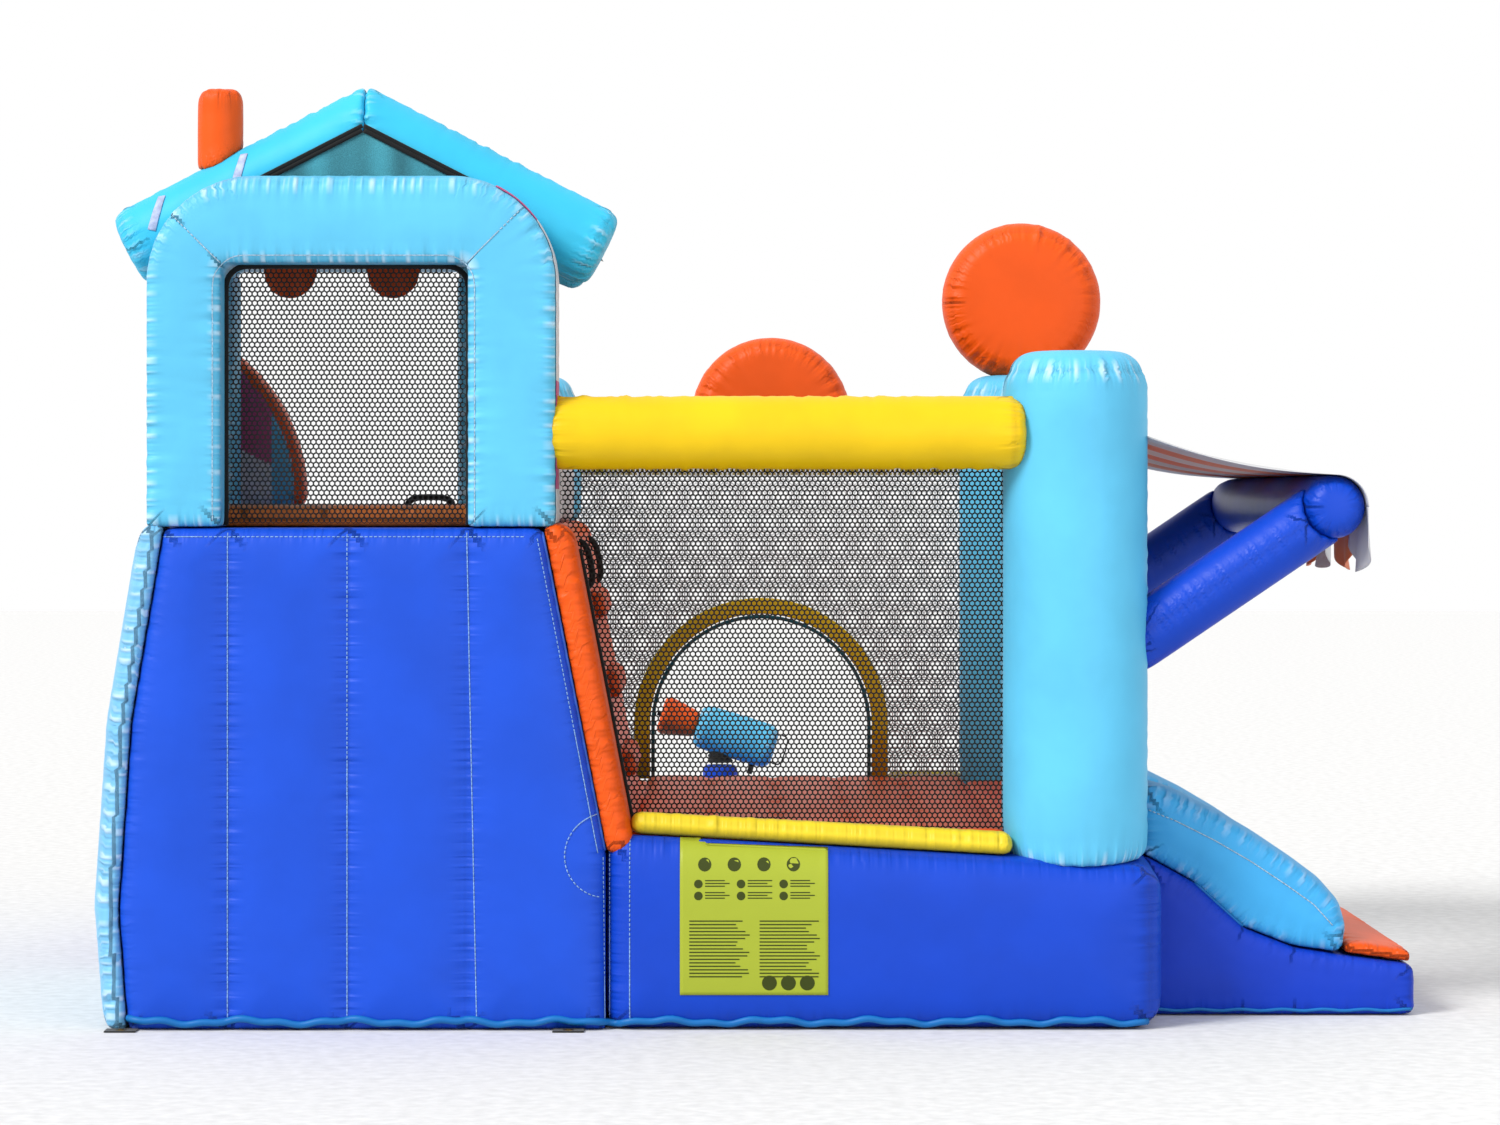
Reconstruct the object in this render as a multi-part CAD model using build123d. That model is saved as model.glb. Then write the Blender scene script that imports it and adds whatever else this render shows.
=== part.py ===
"""Inflatable bounce house: a netted bounce bed beside a roofed tower with a climbing wall, a long
slide into a splash pool, a short exit slide under a striped awning, and a water cannon.

Frame: +X runs along the house from the tower to the exit slide, +Y runs from the quilted back wall to
the pool, +Z is up. The origin is on the ground, in the middle of the outline. Millimetres.
Air chambers are closed fabric skins around air. A "depth" is a distance from the back wall.
"""
import math
import os

from build123d import *

# Driving dimensions
HALF_LENGTH = 1720
HALF_DEPTH = 2050
HEIGHT = 2430
ANCHOR_REACH = 60
BODY_DEPTH = 2400
TOWER_DEPTH = 1400
BED_HEIGHT = 450
DECK_HEIGHT = 1275
SKIN = 1            # coated fabric, with its share of seams
SEAM = 2            # room left between neighbouring chambers
SHEET = 2           # netting, flat webbing and loose cloth

BACK = -HALF_DEPTH + ANCHOR_REACH   # the back wall's outer face

# Tower
LEFT_SKIN = 40
TOWER_RIGHT_FOOT, TOWER_RIGHT_TOP = -385, -545
TOWER_BACK_LEFT = [(-1642, 0), (-1664, 300), (-1632, 780), (-1550, DECK_HEIGHT)]
FLARE = HALF_LENGTH - 1664   # how much further out the left side is at the far end
TOWER_FRONT_LEFT = [(x - FLARE, z) for x, z in TOWER_BACK_LEFT]
CLIMB_THICK = 60
FRAME_THICK = 210
WINDOW_FRAME = (-1554, -513, 2154)      # left, right, top
WINDOW = (-1364, -737, 1948)
SLIDE_FRAME = (-1700, -511, 2130)
SLIDE_DOOR = (-1482, -822, 1996)
PLATFORM_THICK = 46
FACADE_X = (-615, -518)
FACADE_TOP, DOOR_TOP = 1930, 1780
DOOR_DEPTHS = (440, 980)

# Roof
RIDGE_X = -1020
GABLE_RADIUS = 104.5
GABLE_DEPTHS = (340, 1060)
GABLE_RUN, GABLE_FALL = 602, 308        # from the ridge to the middle of an eave
GABLE_SLOPE = math.atan2(GABLE_FALL, GABLE_RUN)
RIDGE_Z = HEIGHT - GABLE_RADIUS / math.cos(GABLE_SLOPE)
CHIMNEY_X, CHIMNEY_RADIUS, CHIMNEY_TOP = -1403, 56, 2417

# Bounce area
BED_LEFT, BED_RIGHT = -383, 1010
CORNER_LEFT = -800
FLOOR_THICK = 36
FLOOR_TOP = BED_HEIGHT + SEAM + FLOOR_THICK
POST_TOP = 1714
RIGHT_POST_X, POST_RADIUS = 823, 175
LEFT_POST_X, LEFT_POST_RADIUS = -666, 125
BACK_POST_DEPTH, FRONT_POST_DEPTH = 175, 2225
BEAM_RADIUS, BEAM_Z = 92, 1518
BACK_BEAM_DEPTH, FRONT_BEAM_DEPTH = 95, 2305
BACK_NET_DEPTH = 150
ARCH_X, ARCH_RADIUS, ARCH_Z, ARCH_BAND = 28, 389, 657, 50

# Exit slide, on the right side
EXIT_DEPTHS = (300, 1500)
EXIT_TOP_LINE = [(1012, 418), (1140, 348), (1271, 229), (1403, 177), (1521, 158), (1712, 134)]
EXIT_BOLSTER_LINE = [(1538, 206), (1513, 284), (1465, 338), (1395, 390), (1300, 454), (1205, 510),
                     (1100, 562), (1014, 596)]
EXIT_BOLSTER_WIDTH = 280

# Awning
AWNING_X, AWNING_Z, AWNING_RADIUS = 1485, 1328, 80
AWNING_ROOT_X, AWNING_ROOT_Z = 905, 935
CANOPY_ROOT = (1001, 1505)
TONGUES = 7

# Long slide and pool, at the front
SLIDE_X = (-1542, -804)
SLIDE_LINE = [(1402, 1275), (1520, 1248), (2500, 470), (2750, 320), (3100, 235)]
BOLSTER_RADIUS = 72
BOLSTER_TOP = 1328       # the bolsters are cut level here at the slide's top
POOL_RIGHT = 700
POOL_WALL = 240
POOL_HEIGHT = 300
POOL_FRONT = 3980

# Water cannon
CANNON_X, CANNON_DEPTH = -99, 3860
PEDESTAL_RADIUS, PEDESTAL_HEIGHT = 57, 130
BARREL_RADIUS = 75
BARREL = (-108, 165)
MUZZLE = -240
CANNON_TILT = 17
PITCH_Z = POOL_HEIGHT + SEAM + PEDESTAL_HEIGHT + 20
BARREL_RISE = 14                        # from the pitch axis to the barrel's underside
HOSE_TAIL_RADIUS, HOSE_TAIL_LENGTH = 9.5, 30

# Air fittings and fastenings
SLEEVE_DEPTH, SLEEVE_Z, SLEEVE_RADIUS, SLEEVE_END = 1950, 90, 80, 1500
SLEEVE_WALL = 3
ZIP_DEPTHS, ZIP_Z = (1530, 1850), 300
ANCHORS = [(-1611, -1), (-478, -1), (-1500, 1), (420, 1)]   # x, and back (-1) or front (1)
ANCHOR_WIDTH = 80
EYELET_RADIUS = 8


def at(depth):
    """The Y of a distance from the back wall."""
    return BACK + depth


def hollow(make):
    """A chamber's fabric: its outer shape less the same shape one skin smaller all round."""
    return make(0) - make(SKIN)


def outline(points, inset=0):
    face = make_face(Polyline(*points, close=True))
    return offset(face, amount=-inset, kind=Kind.INTERSECTION) if inset else face


def slab_y(face, depths, inset=0):
    """An outline in X and Z, taken through a range of depths."""
    near, far = at(depths[0]) + inset, at(depths[1]) - inset
    return extrude(Plane.XZ.offset(-far) * face, amount=far - near)


def slab_x(face, xs, inset=0):
    """An outline in Y and Z, taken through a range of X."""
    return extrude(Plane.YZ.offset(xs[0] + inset) * face, amount=xs[1] - xs[0] - 2 * inset)


def block(xs, depths, zs, inset=0, edge=0):
    sizes = [high - low - 2 * inset for low, high in (xs, depths, zs)]
    centre = (sum(xs) / 2, at(sum(depths) / 2), sum(zs) / 2)
    solid = Pos(*centre) * Box(*sizes)
    return fillet(solid.edges(), edge - inset) if edge else solid


def tube(start, end, radius, inset=0, cap=0):
    """A round tube between two points, its ends rounded off by cap."""
    start, end = Vector(*start), Vector(*end)
    along = (end - start).normalized()
    plane = Plane(origin=start + along * inset, z_dir=along)
    solid = extrude(plane * Circle(radius - inset), amount=(end - start).length - 2 * inset)
    return fillet(solid.edges().filter_by(GeomType.CIRCLE), cap - inset) if cap else solid


def post(x, depth, radius, inset=0):
    foot = BED_HEIGHT + SEAM
    body = tube((x, at(depth), foot), (x, at(depth), POST_TOP), radius, inset)
    return fillet(body.edges().group_by(Axis.Z)[-1], 70 - inset)


def back_right_post(inset=0):
    return post(RIGHT_POST_X, BACK_POST_DEPTH, POST_RADIUS, inset)


def front_right_post(inset=0):
    return post(RIGHT_POST_X, FRONT_POST_DEPTH, POST_RADIUS, inset)


def front_left_post(inset=0):
    return post(LEFT_POST_X, FRONT_POST_DEPTH, LEFT_POST_RADIUS, inset)


def post_room(x, depth, radius, inset=0):
    """What a tube that ends against a post leaves free."""
    return tube((x, at(depth), 0), (x, at(depth), HEIGHT), radius + SEAM + inset)


def right_post_rooms(inset=0):
    depths = (BACK_POST_DEPTH, FRONT_POST_DEPTH)
    return [post_room(RIGHT_POST_X, depth, POST_RADIUS, inset) for depth in depths]


# Tower base

def wall_line(z):
    """The X of the tower's leaning right side at a height."""
    lean = (TOWER_RIGHT_TOP - TOWER_RIGHT_FOOT) / (DECK_HEIGHT - BED_HEIGHT)
    return TOWER_RIGHT_FOOT + max(z - BED_HEIGHT, 0) * lean


def tower_base(inset=0):
    ends = []
    for left, depth in ((TOWER_BACK_LEFT, inset), (TOWER_FRONT_LEFT, TOWER_DEPTH - inset)):
        inner = [(x + LEFT_SKIN + SEAM, z) for x, z in left]
        right = [(TOWER_RIGHT_TOP, DECK_HEIGHT), (TOWER_RIGHT_FOOT, BED_HEIGHT), (TOWER_RIGHT_FOOT, 0)]
        ends.append(Plane.XZ.offset(-at(depth)) * outline(inner + right, inset))
    return loft(ends, ruled=True)


def tower_left_wall(inset=0):
    ends = []
    for left, depth in ((TOWER_BACK_LEFT, inset), (TOWER_FRONT_LEFT, TOWER_DEPTH - inset)):
        inner = [(x + LEFT_SKIN, z) for x, z in reversed(left)]
        ends.append(Plane.XZ.offset(-at(depth)) * outline(left + inner, inset))
    return loft(ends, ruled=True)


def tower_baffles():
    """Upright webs that hold the quilted walls in, one behind each stitched line."""
    room = 12
    return [block((x, x + SHEET), (room, TOWER_DEPTH - room), (room, DECK_HEIGHT - room))
            for x in (-1344, -1041, -737)]


def climb_outline(inset=0):
    foot = BED_HEIGHT + 2 * SEAM
    inner = [(wall_line(z) + SEAM, z) for z in (foot, DECK_HEIGHT)]
    outer = [(x + CLIMB_THICK, z) for x, z in reversed(inner)]
    return outline(inner + outer, inset)


def climb_wall(inset=0):
    return slab_y(climb_outline(inset), (SEAM, TOWER_DEPTH - SEAM), inset)


def climb_steps():
    """Three padded ledges to put a foot on, each across the middle of the climbing wall."""
    gap = 2 * SEAM + CLIMB_THICK
    steps = []
    for z in (620, 830, 1040):
        inner = [(wall_line(height) + gap, height) for height in (z, z + 60)]
        outer = [(x + 36, height) for x, height in reversed(inner)]
        steps.append(hollow(lambda t: slab_y(outline(inner + outer, t), (420, 1000), t)))
    return steps


def strap_bridge():
    """A padded strap that stands off its wall as a flat bridge, upright and along X."""
    span, height, half_width, thick = 130, 38, 17, 10
    gap = Pos(0, -thick / 2) * Rectangle(span - 2 * thick, height - thick)
    return Rot(90, 0, 0) * extrude(Rectangle(span, height) - gap, amount=half_width, both=True)


def grab_handles():
    """One strap on the deck by the climbing door, and two on the climbing wall's top."""
    deck_z = DECK_HEIGHT + 2 * SEAM + PLATFORM_THICK + 19
    handles = [Pos(-879, at(700), deck_z) * strap_bridge()]
    lean = math.degrees(math.atan2(TOWER_RIGHT_FOOT - TOWER_RIGHT_TOP, DECK_HEIGHT - BED_HEIGHT))
    z = 1180
    x = wall_line(z) + SEAM + CLIMB_THICK + 24
    for depth in (330, 1070):
        handles.append(Pos(x, at(depth), z) * Rot(0, 90 - lean, 0) * strap_bridge())
    return handles


def tower_platform():
    """The padded deck, and its sill in the climbing door."""
    zs = (DECK_HEIGHT + SEAM, DECK_HEIGHT + SEAM + PLATFORM_THICK)
    depths = (FRAME_THICK + 12, TOWER_DEPTH - FRAME_THICK + 8)
    right = FACADE_X[0] - SEAM

    def deck(inset=0):
        near, far = at(depths[0]), at(depths[1])
        corners = [(-1500, near), (right, near), (right, far), (-1640, far)]
        face = Plane.XY.offset(zs[0] + inset) * outline(corners, inset)
        return extrude(face, amount=zs[1] - zs[0] - 2 * inset)

    def sill(inset=0):
        xs = (FACADE_X[0], TOWER_RIGHT_TOP - SEAM)
        return block(xs, (DOOR_DEPTHS[0] + 4, DOOR_DEPTHS[1] - 4), zs, inset)

    return [hollow(deck), hollow(sill)]


def door_frame(frame, door, corner, depths):
    """An upside-down U of three sewn chambers, mitred at the door's top corners."""
    left, right, top = frame
    door_left, door_right, door_top = door
    foot = DECK_HEIGHT + SEAM
    reach = top - door_top + corner
    left_seam = [(door_left, door_top), (door_left - reach, door_top + reach)]
    right_seam = [(door_right, door_top), (door_right + reach, door_top + reach)]
    high = door_top + reach

    def arch(inset):
        width, tall = right - left - 2 * inset, top - foot - 2 * inset
        face = Pos((left + right) / 2, (top + foot) / 2) * Rectangle(width, tall)
        face = fillet(face.vertices().group_by(Axis.Y)[-1], corner - inset)
        tall = door_top - foot + 2 * inset + SEAM
        gap = Pos((door_left + door_right) / 2, foot + tall / 2 - SEAM - inset)
        return face - gap * Rectangle(door_right - door_left + 2 * inset, tall)

    beyond = (left - reach, right + reach)
    areas = [
        left_seam + [(beyond[0], high), (beyond[0], foot), (door_left, foot)],
        right_seam + [(beyond[1], high), (beyond[1], foot), (door_right, foot)],
        [left_seam[0], right_seam[0], right_seam[1], left_seam[1]],
    ]
    pieces = []
    for area in areas:
        def piece(inset):
            face = arch(inset) & outline(area, SEAM / 2 + inset)
            return slab_y(face, depths, inset)
        pieces.append(hollow(piece))
    return pieces


def window_frame():
    return door_frame(WINDOW_FRAME, WINDOW, 250, (10, 10 + FRAME_THICK))


def slide_frame():
    return door_frame(SLIDE_FRAME, SLIDE_DOOR, 200, (TOWER_DEPTH - FRAME_THICK + 10, TOWER_DEPTH - SEAM))


def printed_gusset():
    """The pale strip sewn round the window frame's right edge and shoulder."""
    left, right, top = WINDOW_FRAME
    corner, foot = 250, DECK_HEIGHT + SEAM
    x, z = right - corner, top - corner
    turn = math.radians(70)

    def band(grow):
        radius = corner + grow
        quarter = make_face([
            Line((x, z), (x + radius, z)),
            CenterArc((x, z), radius, 0, 70),
            Line((x + radius * math.cos(turn), z + radius * math.sin(turn)), (x, z)),
        ])
        return quarter + Pos(x + radius / 2, (foot + z) / 2) * Rectangle(radius, z - foot)

    return slab_y(band(SEAM + SHEET) - band(SEAM), (20, FRAME_THICK))


def window_mesh():
    room = 14
    left, right, top = WINDOW
    return block((left + room, right - room), (104, 104 + SHEET), (DECK_HEIGHT + room, top - room))


def scallop_valance():
    """Cloth tongues that hang inside the slide door's top."""
    top = SLIDE_DOOR[2] + 13
    half = 75
    shoulder = top - 20
    tongues = []
    for x in (-1307, -1017, -727):
        left, right = x - half, x + half
        face = make_face([
            Polyline((left, shoulder), (left, top), (right, top), (right, shoulder)),
            ThreePointArc((right, shoulder), (x, shoulder - half), (left, shoulder)),
        ])
        tongues.append(slab_y(face, (1180, 1180 + SHEET)))
    return tongues


def facade_frame():
    """The three chambers round the climbing door, in the tower's right side."""
    foot = DECK_HEIGHT + SEAM
    near = (FRAME_THICK + 12, DOOR_DEPTHS[0])
    far = (DOOR_DEPTHS[1], TOWER_DEPTH - FRAME_THICK + 8)
    return [hollow(lambda t: block(FACADE_X, near, (foot, DOOR_TOP - SEAM), t, edge=30)),
            hollow(lambda t: block(FACADE_X, far, (foot, DOOR_TOP - SEAM), t, edge=30)),
            hollow(lambda t: block(FACADE_X, (near[0], far[1]), (DOOR_TOP, FACADE_TOP), t, edge=30))]


LEFT_RAIL = ((-1440, 234), (-1578, 1186))      # x and depth of its two ends


def left_rail(inset=0):
    z = DECK_HEIGHT + 2 * SEAM + 128
    (x0, depth0), (x1, depth1) = LEFT_RAIL
    return tube((x0, at(depth0), z), (x1, at(depth1), z), 60, inset, cap=20)


def side_nets():
    """Netting over the left rail, over the bed's left side, and beside the exit."""
    (x0, depth0), (x1, depth1) = LEFT_RAIL
    length, foot, top = math.hypot(x1 - x0, depth1 - depth0), 1476, 1880
    middle = ((x0 + x1) / 2, at((depth0 + depth1) / 2), (foot + top) / 2)
    turn = math.degrees(math.atan2(depth1 - depth0, x1 - x0))
    tower = Pos(*middle) * Rot(0, 0, turn) * Box(length, SHEET, top - foot)
    low, high = FLOOR_TOP + 4, BEAM_Z - BEAM_RADIUS - 2
    left = block((-641, -641 + SHEET), (TOWER_DEPTH + 2, 2096), (low, high))
    right = block((905, 905 + SHEET), (EXIT_DEPTHS[1] + 4, 2064), (low, high))
    return [tower, left, right]


# Roof

def gable_limb(depth, side, inset=0):
    """One sloping roof tube, cut upright at the ridge. side is -1 for left, 1 for right."""
    ridge = (RIDGE_X, at(depth), RIDGE_Z)
    beyond = (RIDGE_X - side * GABLE_RUN / 2, at(depth), RIDGE_Z + GABLE_FALL / 2)
    eave = (RIDGE_X + side * GABLE_RUN, at(depth), RIDGE_Z - GABLE_FALL)
    limb = tube(beyond, eave, GABLE_RADIUS, inset)
    limb = fillet(limb.edges().filter_by(GeomType.CIRCLE).sort_by(Axis.Z)[0], 30 - inset)
    near, far = sorted((RIDGE_X + side * (SEAM / 2 + inset), RIDGE_X + side * 2 * GABLE_RUN))
    return limb & block((near, far), (0, BODY_DEPTH), (0, 2 * HEIGHT))


def roof_gables():
    return [hollow(lambda t: gable_limb(depth, side, t)) for depth in GABLE_DEPTHS for side in (-1, 1)]


def gable_line(side, rise, run=GABLE_RUN):
    """Two points of a line along a roof slope, rise above the tube's middle."""
    slope = GABLE_FALL / GABLE_RUN
    return [(RIDGE_X + side, RIDGE_Z + rise), (RIDGE_X + side * run, RIDGE_Z + rise - slope * run)]


def roof_nets():
    """Netting in both gable ends and on both slopes between them."""
    hem, foot = 14, 2004
    apex = RIDGE_Z - hem
    half = (apex - foot) * GABLE_RUN / GABLE_FALL
    face = outline([(RIDGE_X, apex), (RIDGE_X + half, foot), (RIDGE_X - half, foot)])
    clear = GABLE_RADIUS + 5
    ends = [slab_y(face, (GABLE_DEPTHS[0] - clear - 1, GABLE_DEPTHS[0] - clear + 1)),
            slab_y(face, (GABLE_DEPTHS[1] + clear - 1, GABLE_DEPTHS[1] + clear + 1))]
    span = (GABLE_DEPTHS[0] + clear, GABLE_DEPTHS[1] - clear)
    slopes = [slab_y(outline(gable_line(side, 0) + gable_line(side, SHEET)[::-1]), span) for side in (-1, 1)]
    return ends + slopes


def net_bindings():
    """Webbing round the window's netting and along the gable netting's upper edges."""
    wide = 12
    left, right, top = WINDOW
    window = [block((left, left + wide), (96, 116), (DECK_HEIGHT + 4, top - wide - 1)),
              block((right - wide, right), (96, 116), (DECK_HEIGHT + 4, top - wide - 1)),
              block((left, right), (96, 116), (top - wide, top - 0.5))]
    gables = []
    for depth, out in zip(GABLE_DEPTHS, (-1, 1)):
        near, far = sorted((depth + out * (GABLE_RADIUS + 1.5), depth + out * (GABLE_RADIUS + 8)))
        for side in (-1, 1):
            face = outline(gable_line(side, -wide, 560) + gable_line(side, wide, 560)[::-1])
            gables.append(slab_y(face, (near, far)))
    return window + gables


def roof_straps():
    """Two short webbing strips sewn across the left roof tube."""
    straps = []
    for x in (RIDGE_X - 331, RIDGE_X - 545):
        middle = RIDGE_Z - (RIDGE_X - x) * GABLE_FALL / GABLE_RUN
        start = (x - 60, at(GABLE_DEPTHS[0]), middle - 30.7)
        end = (x + 60, at(GABLE_DEPTHS[0]), middle + 30.7)
        ring = tube(start, end, GABLE_RADIUS + 2.5) - tube(start, end, GABLE_RADIUS + 0.5)
        straps.append(ring & block((x - 10, x + 14), (200, 330), (middle + 24, middle + 100)))
    return straps


def chimney(inset=0):
    depth = GABLE_DEPTHS[0]
    top = (CHIMNEY_X, at(depth), CHIMNEY_TOP)
    stack = tube((CHIMNEY_X, at(depth), 2150), top, CHIMNEY_RADIUS, inset)
    stack = fillet(stack.edges().group_by(Axis.Z)[-1], 22 - inset)
    ridge = (RIDGE_X, at(depth), RIDGE_Z)
    eave = (RIDGE_X - GABLE_RUN, at(depth), RIDGE_Z - GABLE_FALL)
    left = stack - tube(ridge, eave, GABLE_RADIUS + SEAM + inset)
    return left.solids().sort_by(Axis.Z)[-1]


# Bounce area

def bed_chamber():
    return [hollow(lambda t: block((BED_LEFT, BED_RIGHT), (0, BODY_DEPTH), (0, BED_HEIGHT), t, edge=45)),
            hollow(lambda t: block((CORNER_LEFT, BED_LEFT - SEAM), (TOWER_DEPTH + SEAM, BODY_DEPTH),
                                   (0, BED_HEIGHT), t, edge=45))]


def bed_baffles():
    room = 50
    return [block((BED_LEFT + room, BED_RIGHT - room), (depth, depth + SHEET), (12, BED_HEIGHT - 12))
            for depth in range(300, BODY_DEPTH - 200, 300)]


def bounce_floor():
    """The jumping surface: the middle, the strip by the exit, and the corner behind the tower."""
    zs = (BED_HEIGHT + SEAM, FLOOR_TOP)
    pads = [((-316, 640), (112, 2288)), ((642, 990), (358, 2042)), ((-780, -318), (1412, 2096))]
    return [hollow(lambda t: block(xs, depths, zs, t, edge=12)) for xs, depths in pads]


def floor_trims():
    """Yellow rolls along the bed's back and front edges, parted at the front arch."""
    zs = (BED_HEIGHT + SEAM, BED_HEIGHT + 52)
    rows = [((-316, 646), (40, 110)), ((-536, ARCH_X - ARCH_RADIUS - 6), (2292, 2362)),
            ((ARCH_X + ARCH_RADIUS + 6, 646), (2292, 2362))]
    return [hollow(lambda t: block(xs, depths, zs, t, edge=20)) for xs, depths in rows]


def back_beam(inset=0):
    start, end = (-507, at(BACK_BEAM_DEPTH), BEAM_Z), (682, at(BACK_BEAM_DEPTH), BEAM_Z)
    beam = tube(start, end, BEAM_RADIUS, inset, cap=30)
    return beam - post_room(RIGHT_POST_X, BACK_POST_DEPTH, POST_RADIUS, inset)


def front_beam(inset=0):
    beam = tube((-600, at(FRONT_BEAM_DEPTH), BEAM_Z), (700, at(FRONT_BEAM_DEPTH), BEAM_Z), BEAM_RADIUS, inset)
    beam -= post_room(RIGHT_POST_X, FRONT_POST_DEPTH, POST_RADIUS, inset)
    beam -= post_room(LEFT_POST_X, FRONT_POST_DEPTH, LEFT_POST_RADIUS, inset)
    return beam.solids().sort_by(SortBy.VOLUME)[-1]


def right_beam(inset=0):
    beam = tube((905, at(250), BEAM_Z), (905, at(2150), BEAM_Z), 88, inset)
    for room in right_post_rooms(inset):
        beam -= room
    return beam.solids().sort_by(SortBy.VOLUME)[-1]


def left_beam(inset=0):
    beam = tube((-640, at(TOWER_DEPTH + 2), BEAM_Z), (-640, at(2180), BEAM_Z), 80, inset)
    beam -= post_room(LEFT_POST_X, FRONT_POST_DEPTH, LEFT_POST_RADIUS, inset)
    return beam.solids().sort_by(SortBy.VOLUME)[-1]


def side_beams():
    return [hollow(right_beam), hollow(left_beam)]


def back_net():
    """The back netting. Its left edge follows the climbing wall."""
    low, high = FLOOR_TOP + 4, BEAM_Z - 80
    clear = SEAM + CLIMB_THICK + 4
    points = [(wall_line(low) + clear, low), (wall_line(DECK_HEIGHT) + clear, DECK_HEIGHT + 4),
              (-502, DECK_HEIGHT + 12), (-502, high), (644, high), (644, low)]
    return slab_y(outline(points), (BACK_NET_DEPTH - SHEET / 2, BACK_NET_DEPTH + SHEET / 2))


def front_net():
    """The front netting round the arched doorway, in strips that leave the arch open."""
    depths = (FRONT_POST_DEPTH, FRONT_POST_DEPTH + SHEET)
    left, right, low, high = -537, 644, FLOOR_TOP + 4, BEAM_Z - 54
    inner = ARCH_RADIUS - ARCH_BAND
    top = ARCH_Z + ARCH_RADIUS
    faces = [[(left, low), (ARCH_X - ARCH_RADIUS, low), (ARCH_X - ARCH_RADIUS, top), (left, top)],
             [(ARCH_X + ARCH_RADIUS, low), (right, low), (right, top), (ARCH_X + ARCH_RADIUS, top)],
             [(left, top), (right, top), (right, high), (left, high)]]
    for side in (-1, 1):
        faces.append([(ARCH_X + side * inner, low), (ARCH_X + side * ARCH_RADIUS, low),
                      (ARCH_X + side * ARCH_RADIUS, ARCH_Z), (ARCH_X + side * inner, ARCH_Z)])
        for step in range(6):
            a0, a1 = math.radians(15 * step), math.radians(15 * (step + 1))
            curve = [(ARCH_X + side * inner * math.cos(a), ARCH_Z + inner * math.sin(a)) for a in (a1, a0)]
            edge = []
            for a in (a0, a1):
                reach = ARCH_RADIUS / max(math.cos(a), math.sin(a))
                edge.append((ARCH_X + side * reach * math.cos(a), ARCH_Z + reach * math.sin(a)))
            faces.append(curve + edge)
    gap = 0.4
    return [slab_y(outline(points, gap), depths) for points in faces]


def arch_ring(outer, inner, depths):
    """A flat arched band standing on the floor's edge."""
    foot = FLOOR_TOP + 4

    def shape(radius):
        return Pos(ARCH_X, ARCH_Z) * Circle(radius) + Pos(ARCH_X, (ARCH_Z + foot) / 2) * Rectangle(
            2 * radius, ARCH_Z - foot)

    below = Pos(ARCH_X, foot - 500) * Rectangle(4 * outer, 1000)
    return slab_y(shape(outer) - shape(inner) - below, depths)


def arch_band():
    return arch_ring(ARCH_RADIUS, ARCH_RADIUS - ARCH_BAND + 1, (FRONT_POST_DEPTH - 9, FRONT_POST_DEPTH - 1))


def arch_binding():
    outer = ARCH_RADIUS - ARCH_BAND - 4      # inside the netting's straight-cut strips
    return arch_ring(outer, outer - 12, (FRONT_POST_DEPTH - 10, FRONT_POST_DEPTH + 6))


def round_disc(inset=0):
    return tube((825, at(2150), 1950), (825, at(2300), 1950), 233, inset, cap=60)


def half_disc(inset=0):
    foot = BEAM_Z + BEAM_RADIUS + SEAM
    disc = tube((59, at(2240), 1600), (59, at(2370), 1600), 236, inset, cap=50)
    return disc & block((-400, 500), (2000, 2400), (foot + inset, HEIGHT))


def discs():
    """The round disc on the front right post, and the half disc on the front beam."""
    return [hollow(round_disc), hollow(half_disc)]


def label_patch():
    return block((-196, 180), (-4, -1), (95, 440))


# Awning

def awning_arms():
    """The two tubes that hold the awning out, from the posts to the cross tube."""
    pieces = []
    for depth in (BACK_POST_DEPTH, FRONT_POST_DEPTH):
        def arm(inset):
            root = (AWNING_ROOT_X, at(depth), AWNING_ROOT_Z)
            body = tube(root, (AWNING_X, at(depth), AWNING_Z), AWNING_RADIUS - 2, inset)
            body -= post_room(RIGHT_POST_X, depth, POST_RADIUS, inset)
            body -= tube((AWNING_X, at(0), AWNING_Z), (AWNING_X, at(BODY_DEPTH), AWNING_Z),
                         AWNING_RADIUS + SEAM + inset)
            return body.solids().sort_by(SortBy.VOLUME)[-1]
        pieces.append(hollow(arm))
    return pieces


def awning_cross_tube(inset=0):
    ends = (BACK_POST_DEPTH - AWNING_RADIUS, FRONT_POST_DEPTH + AWNING_RADIUS)
    near, far = [(AWNING_X, at(depth), AWNING_Z) for depth in ends]
    return tube(near, far, AWNING_RADIUS, inset, cap=60)


def awning_canopy():
    """The striped cloth: a flat slope, then a turn down over the cross tube."""
    depths = (BACK_POST_DEPTH - AWNING_RADIUS, FRONT_POST_DEPTH + AWNING_RADIUS)
    crest = (AWNING_X, AWNING_Z + AWNING_RADIUS + SEAM)
    slope = outline([CANOPY_ROOT, (crest[0] - 1, crest[1]), (crest[0] - 1, crest[1] + SHEET),
                     (CANOPY_ROOT[0], CANOPY_ROOT[1] + SHEET)])
    inner = AWNING_RADIUS + SEAM
    turn = Pos(AWNING_X, AWNING_Z) * (Circle(inner + SHEET) - Circle(inner))
    quarter = Pos(AWNING_X + 100, AWNING_Z + 100) * Rectangle(200, 200)
    return [slab_y(slope, depths), slab_y(turn & quarter, depths)]


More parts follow.
